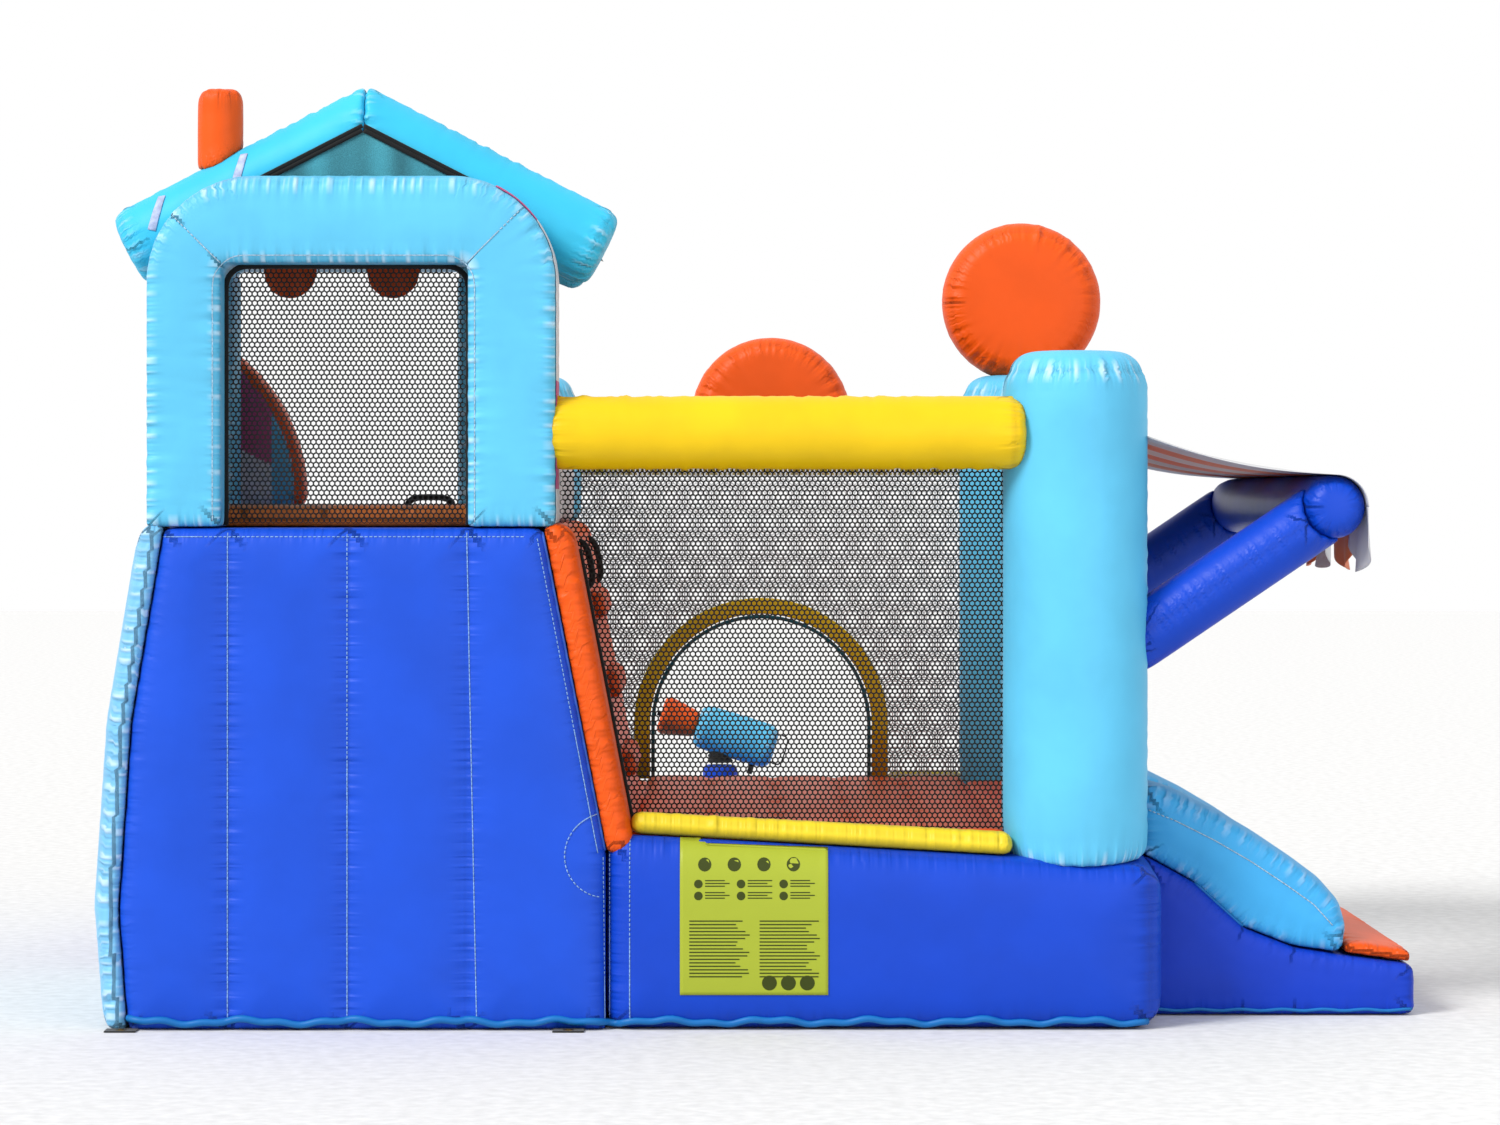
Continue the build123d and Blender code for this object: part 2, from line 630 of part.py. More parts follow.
def awning_valance():
    """Cloth tongues along the awning's outer edge."""
    start, end = BACK_POST_DEPTH - AWNING_RADIUS, FRONT_POST_DEPTH + AWNING_RADIUS
    pitch = (end - start) / TONGUES
    x = AWNING_X + AWNING_RADIUS + SEAM
    top, shoulder, tip = AWNING_Z - 1, AWNING_Z - 110, AWNING_Z - 172
    tongues = []
    for index in range(TONGUES):
        low, high = at(start + index * pitch + 6), at(start + (index + 1) * pitch - 6)
        face = outline([(low, top), (high, top), (high, shoulder), ((low + high) / 2, tip), (low, shoulder)])
        tongues.append(slab_x(face, (x, x + SHEET)))
    return tongues


# Exit slide

def exit_slide_bed():
    """Three chambers that step down from the bed to the ground."""
    spans = [EXIT_TOP_LINE[0:3], EXIT_TOP_LINE[2:4], EXIT_TOP_LINE[3:6]]
    pieces = []
    for line in spans:
        corners = [(line[0][0], 0)] + line + [(line[-1][0], 0)]
        pieces.append(hollow(lambda t: slab_y(outline(corners, SEAM / 2 + t), EXIT_DEPTHS, t)))
    return pieces


def exit_slide_surface():
    """The orange sliding cloth between the bolsters, across the foot, and down the end."""
    lane = (EXIT_DEPTHS[0] + EXIT_BOLSTER_WIDTH + 24, EXIT_DEPTHS[1] - EXIT_BOLSTER_WIDTH - 24)
    foot = (EXIT_DEPTHS[0] + 20, EXIT_DEPTHS[1] - 20)
    lift, thick = 3, 26
    pieces = []
    for line, depths in ((EXIT_TOP_LINE[0:3], lane), (EXIT_TOP_LINE[2:4], lane), (EXIT_TOP_LINE[3:5], lane)):
        low = [(x, z + lift) for x, z in line]
        high = [(x, z + lift + thick) for x, z in reversed(line)]
        pieces.append(hollow(lambda t: slab_y(outline(low + high, 0.5 + t), depths, t)))
    (x0, z0), (x1, z1) = EXIT_TOP_LINE[4:6]
    x0 = x0 + 22
    toe = [(x0, z0 + lift), (x1, z1 + lift), (x1, z1 + lift + thick), (x0, z0 + lift + thick)]
    pieces.append(hollow(lambda t: slab_y(outline(toe, 0.5 + t), foot, t)))
    pieces.append(block((HALF_LENGTH - SHEET, HALF_LENGTH), foot, (24, 128)))
    return pieces


def exit_slide_bolsters():
    under = [(x, z + SEAM) for x, z in EXIT_TOP_LINE[0:4]] + [(1521, 160 + SEAM)]
    under[0] = (1014, under[0][1])
    pieces = []
    for start in (EXIT_DEPTHS[0] + 20, EXIT_DEPTHS[1] - 20 - EXIT_BOLSTER_WIDTH):
        depths = (start, start + EXIT_BOLSTER_WIDTH)
        pieces.append(hollow(lambda t: slab_y(outline(under + EXIT_BOLSTER_LINE, 1 + t), depths, t)))
    return pieces


# Long slide and pool

def slide_spans():
    """The slide's outline in depth and height, cut where its slope changes."""
    return [SLIDE_LINE[0:3], SLIDE_LINE[2:4], SLIDE_LINE[3:5]]


def depth_outline(points, inset=0):
    return outline([(at(depth), z) for depth, z in points], inset)


def slide_bed():
    pieces = []
    for line in slide_spans():
        corners = [(line[0][0], 0)] + line + [(line[-1][0], 0)]
        pieces.append(hollow(lambda t: slab_x(depth_outline(corners, SEAM / 2 + t), SLIDE_X, t)))
    return pieces


def slide_surface():
    lane = (SLIDE_X[0] + 2 * BOLSTER_RADIUS + 12, SLIDE_X[1] - 2 * BOLSTER_RADIUS - 12)
    lift, thick = 3, 28
    pieces = []
    for line in slide_spans():
        low = [(depth, z + lift) for depth, z in line]
        high = [(depth, z + lift + thick) for depth, z in reversed(line)]
        pieces.append(hollow(lambda t: slab_x(depth_outline(low + high, 0.5 + t), lane, t)))
    return pieces


def slide_bolsters():
    """Side tubes in straight runs, cut upright where they meet."""
    pieces = []
    for x in (SLIDE_X[0] + BOLSTER_RADIUS + 2, SLIDE_X[1] - BOLSTER_RADIUS - 2):
        for (depth0, z0), (depth1, z1) in zip(SLIDE_LINE, SLIDE_LINE[1:]):
            slope = (z1 - z0) / (depth1 - depth0)
            rise = (BOLSTER_RADIUS + SEAM) / math.cos(math.atan(slope)) + 2
            start = (x, at(depth0 - 150), z0 + rise - 150 * slope)
            end = (x, at(depth1 + 150), z1 + rise + 150 * slope)

            def run(inset):
                body = tube(start, end, BOLSTER_RADIUS, inset)
                depths = (depth0 + 1 + inset, depth1 - 1 - inset)
                return body & block((-HALF_LENGTH, 0), depths, (0, BOLSTER_TOP - inset))
            pieces.append(hollow(run))
    return pieces


def slide_wings():
    """A quarter-round fin that stands across the left bolster at the slide's top."""
    left, foot = SLIDE_X[0] + 22, BOLSTER_TOP + SEAM
    centre, radius = (-1796, 1359), 498
    right = centre[0] + math.sqrt(radius ** 2 - (foot - centre[1]) ** 2)
    top = centre[1] + math.sqrt(radius ** 2 - (left - centre[0]) ** 2)
    middle = centre[0] + radius * math.cos(math.radians(32)), centre[1] + radius * math.sin(math.radians(32))

    def fin(inset):
        face = make_face([
            ThreePointArc((right, foot), middle, (left, top)),
            Polyline((left, top), (left, foot), (right, foot)),
        ])
        face = offset(face, amount=-inset, kind=Kind.INTERSECTION) if inset else face
        return slab_y(face, (1412, 1512), inset)
    return [hollow(fin)]


def pool_walls():
    right = (POOL_RIGHT - POOL_WALL, POOL_RIGHT)
    left = (SLIDE_X[0], SLIDE_X[0] + POOL_WALL)
    rows = [(right, (BODY_DEPTH + SEAM, POOL_FRONT - POOL_WALL - SEAM)),
            ((SLIDE_X[0], POOL_RIGHT), (POOL_FRONT - POOL_WALL, POOL_FRONT)),
            (left, (SLIDE_LINE[-1][0] + SEAM, POOL_FRONT - POOL_WALL - SEAM))]
    return [hollow(lambda t: block(xs, depths, (0, POOL_HEIGHT), t, edge=90)) for xs, depths in rows]


def pool_floor():
    inner = POOL_FRONT - POOL_WALL - SEAM
    return [block((SLIDE_X[1] + SEAM, POOL_RIGHT - POOL_WALL - SEAM), (BODY_DEPTH + SEAM, 3100), (0, SHEET)),
            block((SLIDE_X[0] + POOL_WALL + SEAM, POOL_RIGHT - POOL_WALL - SEAM), (3102, inner), (0, SHEET))]


# Water cannon: built level along X about its pitch axis, then tilted

def aimed(shape):
    """From the cannon's own frame to its place: nozzle towards -X and up."""
    return Pos(CANNON_X, at(CANNON_DEPTH), PITCH_Z) * Rot(0, CANNON_TILT, 0) * shape


AXIS_RISE = BARREL_RISE + BARREL_RADIUS


def lengthwise(profile_points):
    """A solid turned about the barrel's axis from (distance along X, radius) points."""
    face = make_face(Plane.XZ * Polyline(*profile_points, close=True))
    return Pos(0, 0, AXIS_RISE) * revolve(face, axis=Axis.X)


def cannon_pedestal(inset=0):
    foot = POOL_HEIGHT + SEAM
    place = (CANNON_X, at(CANNON_DEPTH))
    return tube((*place, foot), (*place, foot + PEDESTAL_HEIGHT), PEDESTAL_RADIUS, inset, cap=12)


def cannon_neck():
    """The short stiff ring under the barrel, which turns on the pedestal."""
    foot = POOL_HEIGHT + SEAM + PEDESTAL_HEIGHT + 0.5
    return Pos(CANNON_X, at(CANNON_DEPTH), foot + 6) * Cylinder(40, 12)


def cannon_barrel():
    rear, front = BARREL[1], BARREL[0]
    pipe = 10

    def shape(inset):
        round_off = 22
        low, high, radius = front + inset, rear - inset, BARREL_RADIUS - inset
        body = Pos((low + high) / 2, 0, AXIS_RISE) * Rot(0, 90, 0) * Cylinder(radius, high - low)
        return fillet(body.edges().filter_by(GeomType.CIRCLE), round_off - inset)

    bore = Pos(front, 0, AXIS_RISE) * Rot(0, 90, 0) * Cylinder(pipe, 100)
    drop = Pos(110, 0, BARREL_RISE) * Cylinder(pipe, 60)
    return aimed(hollow(shape) - bore - drop)


def cannon_nozzle():
    """A flared, air-filled mouth with the water pipe's hole along its middle."""
    tip, root, hole = MUZZLE, BARREL[0] - 1, 10
    outer = [(tip, hole), (tip, 52), (tip + 12, 66), (root - 20, 48), (root, 44), (root, hole)]
    inner = [(tip + 2, hole + 2), (tip + 2, 51), (tip + 13, 63.5), (root - 20, 46), (root - 2, 42),
             (root - 2, hole + 2)]
    return aimed(lengthwise(outer) - lengthwise(inner))


def cannon_handle():
    """A webbing grip that stands off the barrel's rear."""
    strap, tall, out = 8, 110, 42
    loop = Box(out, 30, tall) - Pos(-strap, 0, 0) * Box(out, 40, tall - 2 * strap)
    return aimed(Pos(BARREL[1] + 1 + out / 2, 0, AXIS_RISE) * loop)


def cannon_water_tube():
    """The pipe through barrel and nozzle, and the hose tail under the rear."""
    drop_x, outer, inner = 110, 9, 6
    start, length = MUZZLE - 4, drop_x - MUZZLE + 4
    tail_foot = BARREL_RISE - 34
    tall = AXIS_RISE - tail_foot
    level = Pos(start + length / 2, 0, AXIS_RISE) * Rot(0, 90, 0)
    drop = Pos(drop_x, 0, tail_foot + tall / 2)
    tail = Pos(drop_x, 0, tail_foot + HOSE_TAIL_LENGTH / 2)
    outside = level * Cylinder(outer, length + 2 * outer) + drop * Cylinder(outer, tall)
    outside += tail * Cylinder(HOSE_TAIL_RADIUS, HOSE_TAIL_LENGTH)
    bore = level * Pos(0, 0, -10) * Cylinder(inner, length + 18)
    bore += drop * Pos(0, 0, -5) * Cylinder(inner, tall + 10)
    return aimed(outside - bore)


# Air fittings and fastenings

def inflation_sleeve():
    """The open fabric tube that a blower's outlet pushes into."""
    start, end = (BED_RIGHT + SEAM, at(SLEEVE_DEPTH), SLEEVE_Z), (SLEEVE_END, at(SLEEVE_DEPTH), SLEEVE_Z)
    return tube(start, end, SLEEVE_RADIUS) - tube(start, end, SLEEVE_RADIUS - SLEEVE_WALL)


def sleeve_strap():
    """The strap that ties the sleeve to the blower, with its buckle."""
    start = (SLEEVE_END - 70, at(SLEEVE_DEPTH), SLEEVE_Z)
    end = (SLEEVE_END - 40, at(SLEEVE_DEPTH), SLEEVE_Z)
    ring = tube(start, end, SLEEVE_RADIUS + 4) - tube(start, end, SLEEVE_RADIUS + 1)
    buckle = block((SLEEVE_END - 76, SLEEVE_END - 34), (SLEEVE_DEPTH - 20, SLEEVE_DEPTH + 20),
                   (SLEEVE_Z + SLEEVE_RADIUS + 4.5, SLEEVE_Z + SLEEVE_RADIUS + 10))
    return [ring, buckle]


def zip_tape():
    """The air outlet's closed zip: a cloth tape and a row of teeth."""
    first, last = ZIP_DEPTHS
    tape = block((BED_RIGHT + 1, BED_RIGHT + 3), ZIP_DEPTHS, (ZIP_Z - 17, ZIP_Z + 17))
    teeth = block((BED_RIGHT + 3, BED_RIGHT + 6), (first + 6, last - 6), (ZIP_Z - 3, ZIP_Z + 3))
    return tape + teeth


def zip_slider():
    """The slider over the teeth, with its pull tab."""
    depth, clear = ZIP_DEPTHS[1] - 26, 0.4
    xs = (BED_RIGHT + 3 + clear, BED_RIGHT + 9)
    body = block(xs, (depth - 9, depth + 9), (ZIP_Z - 7, ZIP_Z + 7), edge=1)
    groove = (ZIP_Z - 3 - clear, ZIP_Z + 3 + clear)
    channel = block((BED_RIGHT, BED_RIGHT + 6 + clear), (depth - 10, depth + 10), groove)
    pull = block((BED_RIGHT + 8, BED_RIGHT + 10.5), (depth - 5, depth + 5), (ZIP_Z - 42, ZIP_Z))
    return body - channel + pull


def anchor_tabs():
    """Webbing tabs sewn under the walls, each with a hole for a stake's eyelet."""
    tabs = []
    for x, side in ANCHORS:
        near, far = sorted((side * (HALF_DEPTH - ANCHOR_REACH + SEAM), side * HALF_DEPTH))
        tab = Pos(x, (near + far) / 2, 2.5) * Box(ANCHOR_WIDTH, far - near, 3)
        tabs.append(tab - Pos(x, side * (HALF_DEPTH - 26), 2.5) * Cylinder(EYELET_RADIUS + 2.1, 10))
    return tabs


def anchor_eyelets():
    rings = []
    for x, side in ANCHORS:
        ring = Cylinder(EYELET_RADIUS + 2, 5) + Pos(0, 0, 2) * Cylinder(EYELET_RADIUS + 6, 0.9)
        ring += Pos(0, 0, -2) * Cylinder(EYELET_RADIUS + 6, 0.9)
        rings.append(Pos(x, side * (HALF_DEPTH - 26), 2.5) * (ring - Cylinder(EYELET_RADIUS, 10)))
    return rings


CHAMBERS = [
    tower_base, tower_left_wall, climb_wall, left_rail, chimney, back_right_post, back_beam,
    front_beam, awning_cross_tube, cannon_pedestal,
]
PIECES = [
    tower_baffles, climb_steps, grab_handles, tower_platform, window_frame, slide_frame,
    printed_gusset, window_mesh, scallop_valance, facade_frame, side_nets, roof_gables, roof_nets,
    net_bindings, roof_straps, bed_chamber, bed_baffles, bounce_floor, floor_trims, side_beams,
    back_net, front_net, arch_band, arch_binding, discs, label_patch, awning_arms, awning_canopy,
    awning_valance, exit_slide_bed, exit_slide_surface, exit_slide_bolsters, slide_bed,
    slide_surface, slide_bolsters, slide_wings, pool_walls, pool_floor, cannon_neck, cannon_barrel,
    cannon_nozzle, cannon_handle, cannon_water_tube, inflation_sleeve, sleeve_strap, zip_tape,
    zip_slider, anchor_tabs, anchor_eyelets,
]


def build():
    """Every sub-part by name."""
    parts = {make.__name__: hollow(make) for make in CHAMBERS}
    parts["front_posts"] = [hollow(front_right_post), hollow(front_left_post)]
    for make in PIECES:
        parts[make.__name__] = make()
    return parts


os.makedirs("parts", exist_ok=True)
for name, shape in build().items():
    if isinstance(shape, list):
        shape = Compound(children=[solid for piece in shape for solid in piece.solids()])
    export_step(shape, f"parts/{name}.step")
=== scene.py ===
"""The looks of the inflatable bounce house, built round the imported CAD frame. Metres.

Air chambers start as the outer surface of their CAD solid. They are remeshed, crowned between their
seams, gathered into puckers along the seams, and stitched. Netting is real mesh.
"""
import math

import bmesh
import bpy
import numpy as np
from mathutils import Matrix, Vector
from mathutils.bvhtree import BVHTree
from mathutils.kdtree import KDTree


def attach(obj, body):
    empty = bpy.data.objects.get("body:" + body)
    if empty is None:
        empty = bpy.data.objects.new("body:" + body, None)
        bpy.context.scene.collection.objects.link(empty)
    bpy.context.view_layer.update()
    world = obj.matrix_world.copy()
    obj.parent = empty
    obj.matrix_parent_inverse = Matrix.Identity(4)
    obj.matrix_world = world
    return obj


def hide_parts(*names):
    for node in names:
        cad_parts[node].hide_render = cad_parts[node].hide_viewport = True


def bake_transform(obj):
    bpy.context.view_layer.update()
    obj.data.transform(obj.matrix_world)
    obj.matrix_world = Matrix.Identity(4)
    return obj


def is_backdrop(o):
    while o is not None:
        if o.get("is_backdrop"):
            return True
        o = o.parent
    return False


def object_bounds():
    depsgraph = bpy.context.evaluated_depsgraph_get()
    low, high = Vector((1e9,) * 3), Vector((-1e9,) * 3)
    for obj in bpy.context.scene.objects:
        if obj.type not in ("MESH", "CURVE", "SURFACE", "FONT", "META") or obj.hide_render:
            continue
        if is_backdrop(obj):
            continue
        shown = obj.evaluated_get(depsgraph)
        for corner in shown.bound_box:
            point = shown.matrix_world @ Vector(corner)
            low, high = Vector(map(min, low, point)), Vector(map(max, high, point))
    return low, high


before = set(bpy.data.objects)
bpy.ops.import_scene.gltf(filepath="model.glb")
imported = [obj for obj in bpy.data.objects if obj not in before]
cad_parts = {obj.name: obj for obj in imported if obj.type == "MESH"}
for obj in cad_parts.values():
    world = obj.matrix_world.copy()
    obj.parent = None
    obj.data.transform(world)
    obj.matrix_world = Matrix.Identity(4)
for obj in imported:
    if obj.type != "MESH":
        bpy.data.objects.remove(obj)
cad_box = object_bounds()
HOUSE, SWIVEL, GUN = "house", "cannon_swivel", "cannon_gun"
BACK = -1.99                # the back wall's Y; a depth is measured from it
TAU = 2 * math.pi
random = np.random.default_rng(7)


def at(depth):
    return BACK + depth


# Materials

LIGHT_LEVEL, SHINE = 1.48, 0.016    # what the lights below add up to on an upright wall
MOTTLING = 0.05                     # how far a cloth's brightness wanders


def linear(red, green, blue):
    """The base colour that shows as an 8-bit display colour under this scene's lights."""
    values = [c / 255 for c in (red, green, blue)]
    values = [v / 12.92 if v <= 0.04045 else ((v + 0.055) / 1.055) ** 2.4 for v in values]
    return tuple(max((v - SHINE) / LIGHT_LEVEL, 0.0015) for v in values)


class Graph:
    """A new material's node tree, with the few calls that the materials below need."""

    def __init__(self, name, roughness, sheen=0.0):
        self.material = bpy.data.materials.new(name)
        self.material.use_nodes = True
        self.tree = self.material.node_tree
        self.shader = self.tree.nodes["Principled BSDF"]
        self.shader.inputs["Roughness"].default_value = roughness
        self.shader.inputs["Sheen Weight"].default_value = sheen
        self.shader.inputs["Specular IOR Level"].default_value = 0.22
        self.coordinates = self.node("TexCoord").outputs["Object"]

    def node(self, kind, settings=None, **inputs):
        made = self.tree.nodes.new("ShaderNode" + kind)
        for key, value in (settings or {}).items():
            setattr(made, key, value)
        for key, value in inputs.items():
            self.feed(made.inputs[key.replace("_", " ")], value)
        return made

    def feed(self, socket, value):
        if isinstance(value, bpy.types.NodeSocket):
            self.tree.links.new(value, socket)
        else:
            socket.default_value = value

    def math(self, operation, *values):
        made = self.node("Math", {"operation": operation})
        for socket, value in zip(made.inputs, values):
            self.feed(socket, value)
        return made.outputs[0]

    def noise(self, scale, detail=2.0):
        return self.node("TexNoise", Vector=self.coordinates, Scale=scale, Detail=detail).outputs[0]

    def attribute(self, name):
        return self.node("Attribute", {"attribute_name": name}).outputs["Fac"]

    def remap(self, value, low, high, to_low=0.0, to_high=1.0):
        made = self.node("MapRange", Value=value)
        for key, number in (("From Min", low), ("From Max", high), ("To Min", to_low), ("To Max", to_high)):
            made.inputs[key].default_value = number
        return made.outputs[0]

    def mix(self, factor, first, second):
        made = self.node("Mix", {"data_type": "RGBA"})
        self.feed(made.inputs["Factor"], factor)
        for socket, value in zip([s for s in made.inputs if s.type == "RGBA"], (first, second)):
            self.feed(socket, value if isinstance(value, bpy.types.NodeSocket) else (*value, 1))
        return [s for s in made.outputs if s.type == "RGBA"][0]

    def bump(self, height, distance, strength=1.0, below=None):
        made = self.node("Bump", Height=height, Distance=distance, Strength=strength)
        if below is not None:
            self.feed(made.inputs["Normal"], below)
        return made.outputs[0]

    def weave(self, pitch):
        """Height of a plain weave, from crossed ribs."""
        scale = TAU / pitch / 20
        x, y, z = [self.node("TexWave", {"bands_direction": axis}, Vector=self.coordinates,
                             Scale=scale).outputs[1] for axis in "XYZ"]
        return self.math("MAXIMUM", self.math("MAXIMUM", x, y), z)

    def shades(self, factor, base, dark, light):
        """A base colour that varies between two brightnesses."""
        return self.mix(factor, tuple(c * dark for c in base), tuple(min(c * light, 1) for c in base))

    def finish(self, colour, normal):
        self.feed(self.shader.inputs["Base Color"], colour)
        self.feed(self.shader.inputs["Normal"], normal)
        return self.material


def coated_cloth(name, colour, roughness=0.5, gather=0.003, glint=0.0):
    """Coated polyester: fine weave, soft mottling, and fine gathers that fade out from the seams. glint
    paints highlights on the gathers' ridges near the seams.
    """
    g = Graph(name, roughness)
    base = linear(*colour)
    tone = g.shades(g.remap(g.noise(5.0, 3.0), 0.35, 0.65), base, 1 - MOTTLING, 1 + MOTTLING)
    seam_distance = g.attribute("seam_distance")
    # The colour is darker, at 86%, within 12 mm of a seam.
    seam_darkening = g.remap(seam_distance, 0.0, 0.012, 0.0, 1.0)
    tone = g.mix(seam_darkening, tuple(c * 0.86 for c in base), tone)
    weave = g.bump(g.weave(0.0016), 0.00012, 0.5)
    soft = g.bump(g.noise(9.0, 2.0), 0.006, 0.35, below=weave)
    along = g.math("MULTIPLY", g.attribute("seam_place"), 46.0)
    ridges = g.node("TexNoise", {"noise_dimensions": "1D"}, W=along, Scale=1.0, Detail=1.0).outputs[0]
    fade = g.remap(seam_distance, 0.0, 0.055, 1.0, 0.0)
    # Painted highlight: near a seam, the gathers' ridges are mixed towards white, as strongly as glint says.
    ridge_highlight_mask = g.math("MULTIPLY", g.remap(ridges, 0.5, 0.72), g.remap(seam_distance, 0.004, 0.034, glint, 0.0))
    tone = g.mix(ridge_highlight_mask, tone, tuple(0.45 * c + 0.55 for c in base))
    normal = g.bump(g.math("MULTIPLY", ridges, g.math("POWER", fade, 1.6)), gather * 3, 0.9, below=soft)
    return g.finish(tone, normal)


def webbing(name, colour, roughness=0.75, pitch=0.003):
    g = Graph(name, roughness, sheen=0.2)
    base = linear(*colour)
    tone = g.shades(g.remap(g.noise(60.0), 0.3, 0.7), base, 0.8, 1.2)
    return g.finish(tone, g.bump(g.weave(pitch), 0.0006, 0.8))


def moulded(name, colour, roughness=0.4, metal=0.0):
    g = Graph(name, roughness)
    g.shader.inputs["Metallic"].default_value = metal
    base = linear(*colour)
    tone = g.shades(g.remap(g.noise(25.0, 4.0), 0.3, 0.7), base, 0.85, 1)
    return g.finish(tone, g.bump(g.noise(350.0), 0.0003, 0.4))


def fine_netting(name, colour, cover):
    """Light netting too fine to model: a small mesh of holes in the cloth's cover."""
    g = Graph(name, 0.7, sheen=0.3)
    base = linear(*colour)
    cells = g.node("TexVoronoi", {"feature": "DISTANCE_TO_EDGE"}, Vector=g.coordinates, Scale=260.0)
    strand = g.remap(cells.outputs[0], 0.05, 0.16, 1.0, cover)
    g.feed(g.shader.inputs["Alpha"], strand)
    # Painted shade: the netting's colour falls to 45% where its fold value is low, in its folds.
    folds = g.remap(g.attribute("fold"), 0.0, 1.0)
    tone = g.shades(folds, base, 0.45, 1)
    return g.finish(tone, g.bump(g.noise(14.0, 3.0), 0.004, 0.6))


ROYAL = coated_cloth("royal_blue_cloth", (43, 92, 227), 0.48)
BED_ROYAL = coated_cloth("bed_blue_cloth", (33, 80, 212), 0.48)
# Painted light: a copy of the royal blue cloth whose brightness is set for the shade on the awning tubes.
PAINTED_LIGHT_ROYAL_TUBE = coated_cloth("royal_blue_tube_cloth_painted_light", (29, 82, 215), 0.42)
# Painted light: a copy of the royal blue cloth whose brightness is set for the shade on the exit side.
PAINTED_LIGHT_EXIT_ROYAL = coated_cloth("exit_side_blue_cloth_painted_light", (31, 73, 208), 0.5)
SKY = coated_cloth("sky_blue_cloth", (108, 210, 253), 0.46, gather=0.005, glint=0.6)
# Painted light: a copy of the sky blue cloth whose brightness is set for the shade on the roof.
PAINTED_LIGHT_ROOF_SKY = coated_cloth("roof_blue_cloth_painted_light", (72, 211, 254), 0.46, gather=0.004, glint=0.35)
PALE_SKY = coated_cloth("pale_blue_cloth", (132, 206, 252), 0.46, gather=0.005, glint=0.6)
# Painted light: a copy of the sky blue cloth whose brightness is set for the shade on the exit slide's
# bolsters.
PAINTED_LIGHT_BOLSTER_SKY = coated_cloth("bolster_blue_cloth_painted_light", (78, 186, 250), 0.5, gather=0.004, glint=0.3)
ORANGE = coated_cloth("orange_cloth", (255, 100, 6), 0.46, gather=0.004)
YELLOW = coated_cloth("yellow_cloth", (255, 212, 14), 0.4)
# Painted light: a brighter copy of the yellow cloth, which offsets the shade on the floor trims.
PAINTED_LIGHT_TRIM_YELLOW = coated_cloth("trim_yellow_cloth_painted_light", (255, 226, 60), 0.45)
# Painted light: a brighter copy of the orange cloth, which offsets the shade on the tower's deck.
PAINTED_LIGHT_DECK_ORANGE = coated_cloth("deck_orange_cloth_painted_light", (255, 142, 66), 0.5)
WHITE = coated_cloth("white_cloth", (238, 239, 244), 0.5)
PINK = coated_cloth("pink_trim_cloth", (214, 92, 150), 0.5)
BLACK = webbing("black_webbing_tape", (20, 21, 24))
BLACK_NET = webbing("black_mesh_cord", (20, 22, 26), 0.7, 0.0012)
WHITE_NET = webbing("white_mesh_cord", (232, 238, 242), 0.7, 0.0012)
TEAL_TAPE = webbing("teal_binding_tape", (32, 92, 104))
# Painted shade: white webbing given the pale lavender that it shows in shade.
PAINTED_SHADE_WHITE_TAPE = webbing("white_webbing_tape_painted_shade", (196, 208, 244))
THREAD = webbing("light_blue_thread", (150, 196, 255), 0.6, 0.0006)
PALE_THREAD = webbing("pale_thread", (190, 226, 250), 0.6, 0.0006)
PIPING = coated_cloth("piping_cloth", (44, 132, 214), 0.45, gather=0)
PURPLE_PIPING = coated_cloth("seam_piping_cloth", (72, 116, 226), 0.45, gather=0)
LABEL = coated_cloth("label_cloth", (192, 206, 70), 0.4, gather=0)
LABEL_INK = coated_cloth("label_ink", (74, 84, 34), 0.5, gather=0)
TEAL_NET = fine_netting("teal_fine_netting", (92, 184, 200), 0.72)
BRASS = moulded("eyelet_brass", (200, 164, 84), 0.32, 1.0)
BLACK_PLASTIC = moulded("black_plastic", (24, 25, 28), 0.42)

SLOT_MATERIALS = {
    "royal_blue_fabric": (ROYAL, BED_ROYAL, PAINTED_LIGHT_ROYAL_TUBE, PAINTED_LIGHT_EXIT_ROYAL),
    "sky_blue_fabric": (SKY, PAINTED_LIGHT_ROOF_SKY, PALE_SKY, PAINTED_LIGHT_BOLSTER_SKY),
    "orange_fabric": (ORANGE, PAINTED_LIGHT_DECK_ORANGE),
    "yellow_fabric": (YELLOW, PAINTED_LIGHT_TRIM_YELLOW),
    "white_fabric": (WHITE,),
    "black_webbing": (BLACK,),
    "teal_webbing": (TEAL_TAPE,),
    "white_webbing": (PAINTED_SHADE_WHITE_TAPE,),
}
SLOTS = {skin.name: slot for slot, skins in SLOT_MATERIALS.items() for skin in skins}


# Mesh helpers

def new_object(name, vertices, faces, skin, body=HOUSE, smooth=True):
    mesh = bpy.data.meshes.new(name)
    mesh.from_pydata([tuple(v) for v in vertices], [], [tuple(f) for f in faces])
    mesh.update()
    return add_object(name, mesh, skin, body, smooth)


def add_object(name, mesh, skin, body=HOUSE, smooth=True):
    thing = bpy.data.objects.new(name, mesh)
    bpy.context.scene.collection.objects.link(thing)
    for material in skin if isinstance(skin, list) else [skin]:
        mesh.materials.append(material)
    mesh.polygons.foreach_set("use_smooth", [smooth] * len(mesh.polygons))
    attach(thing, body)
    return thing


def evaluated(mesh, *modifiers):
    """A mesh with modifiers applied. Each modifier is (kind, settings)."""
    thing = bpy.data.objects.new("work", mesh)
    bpy.context.scene.collection.objects.link(thing)
    for kind, settings in modifiers:
        modifier = thing.modifiers.new(kind, kind)
        for key, value in settings.items():
            setattr(modifier, key, value)
    graph = bpy.context.evaluated_depsgraph_get()
    graph.update()
    result = bpy.data.meshes.new_from_object(thing.evaluated_get(graph))
    bpy.data.objects.remove(thing)
    return result


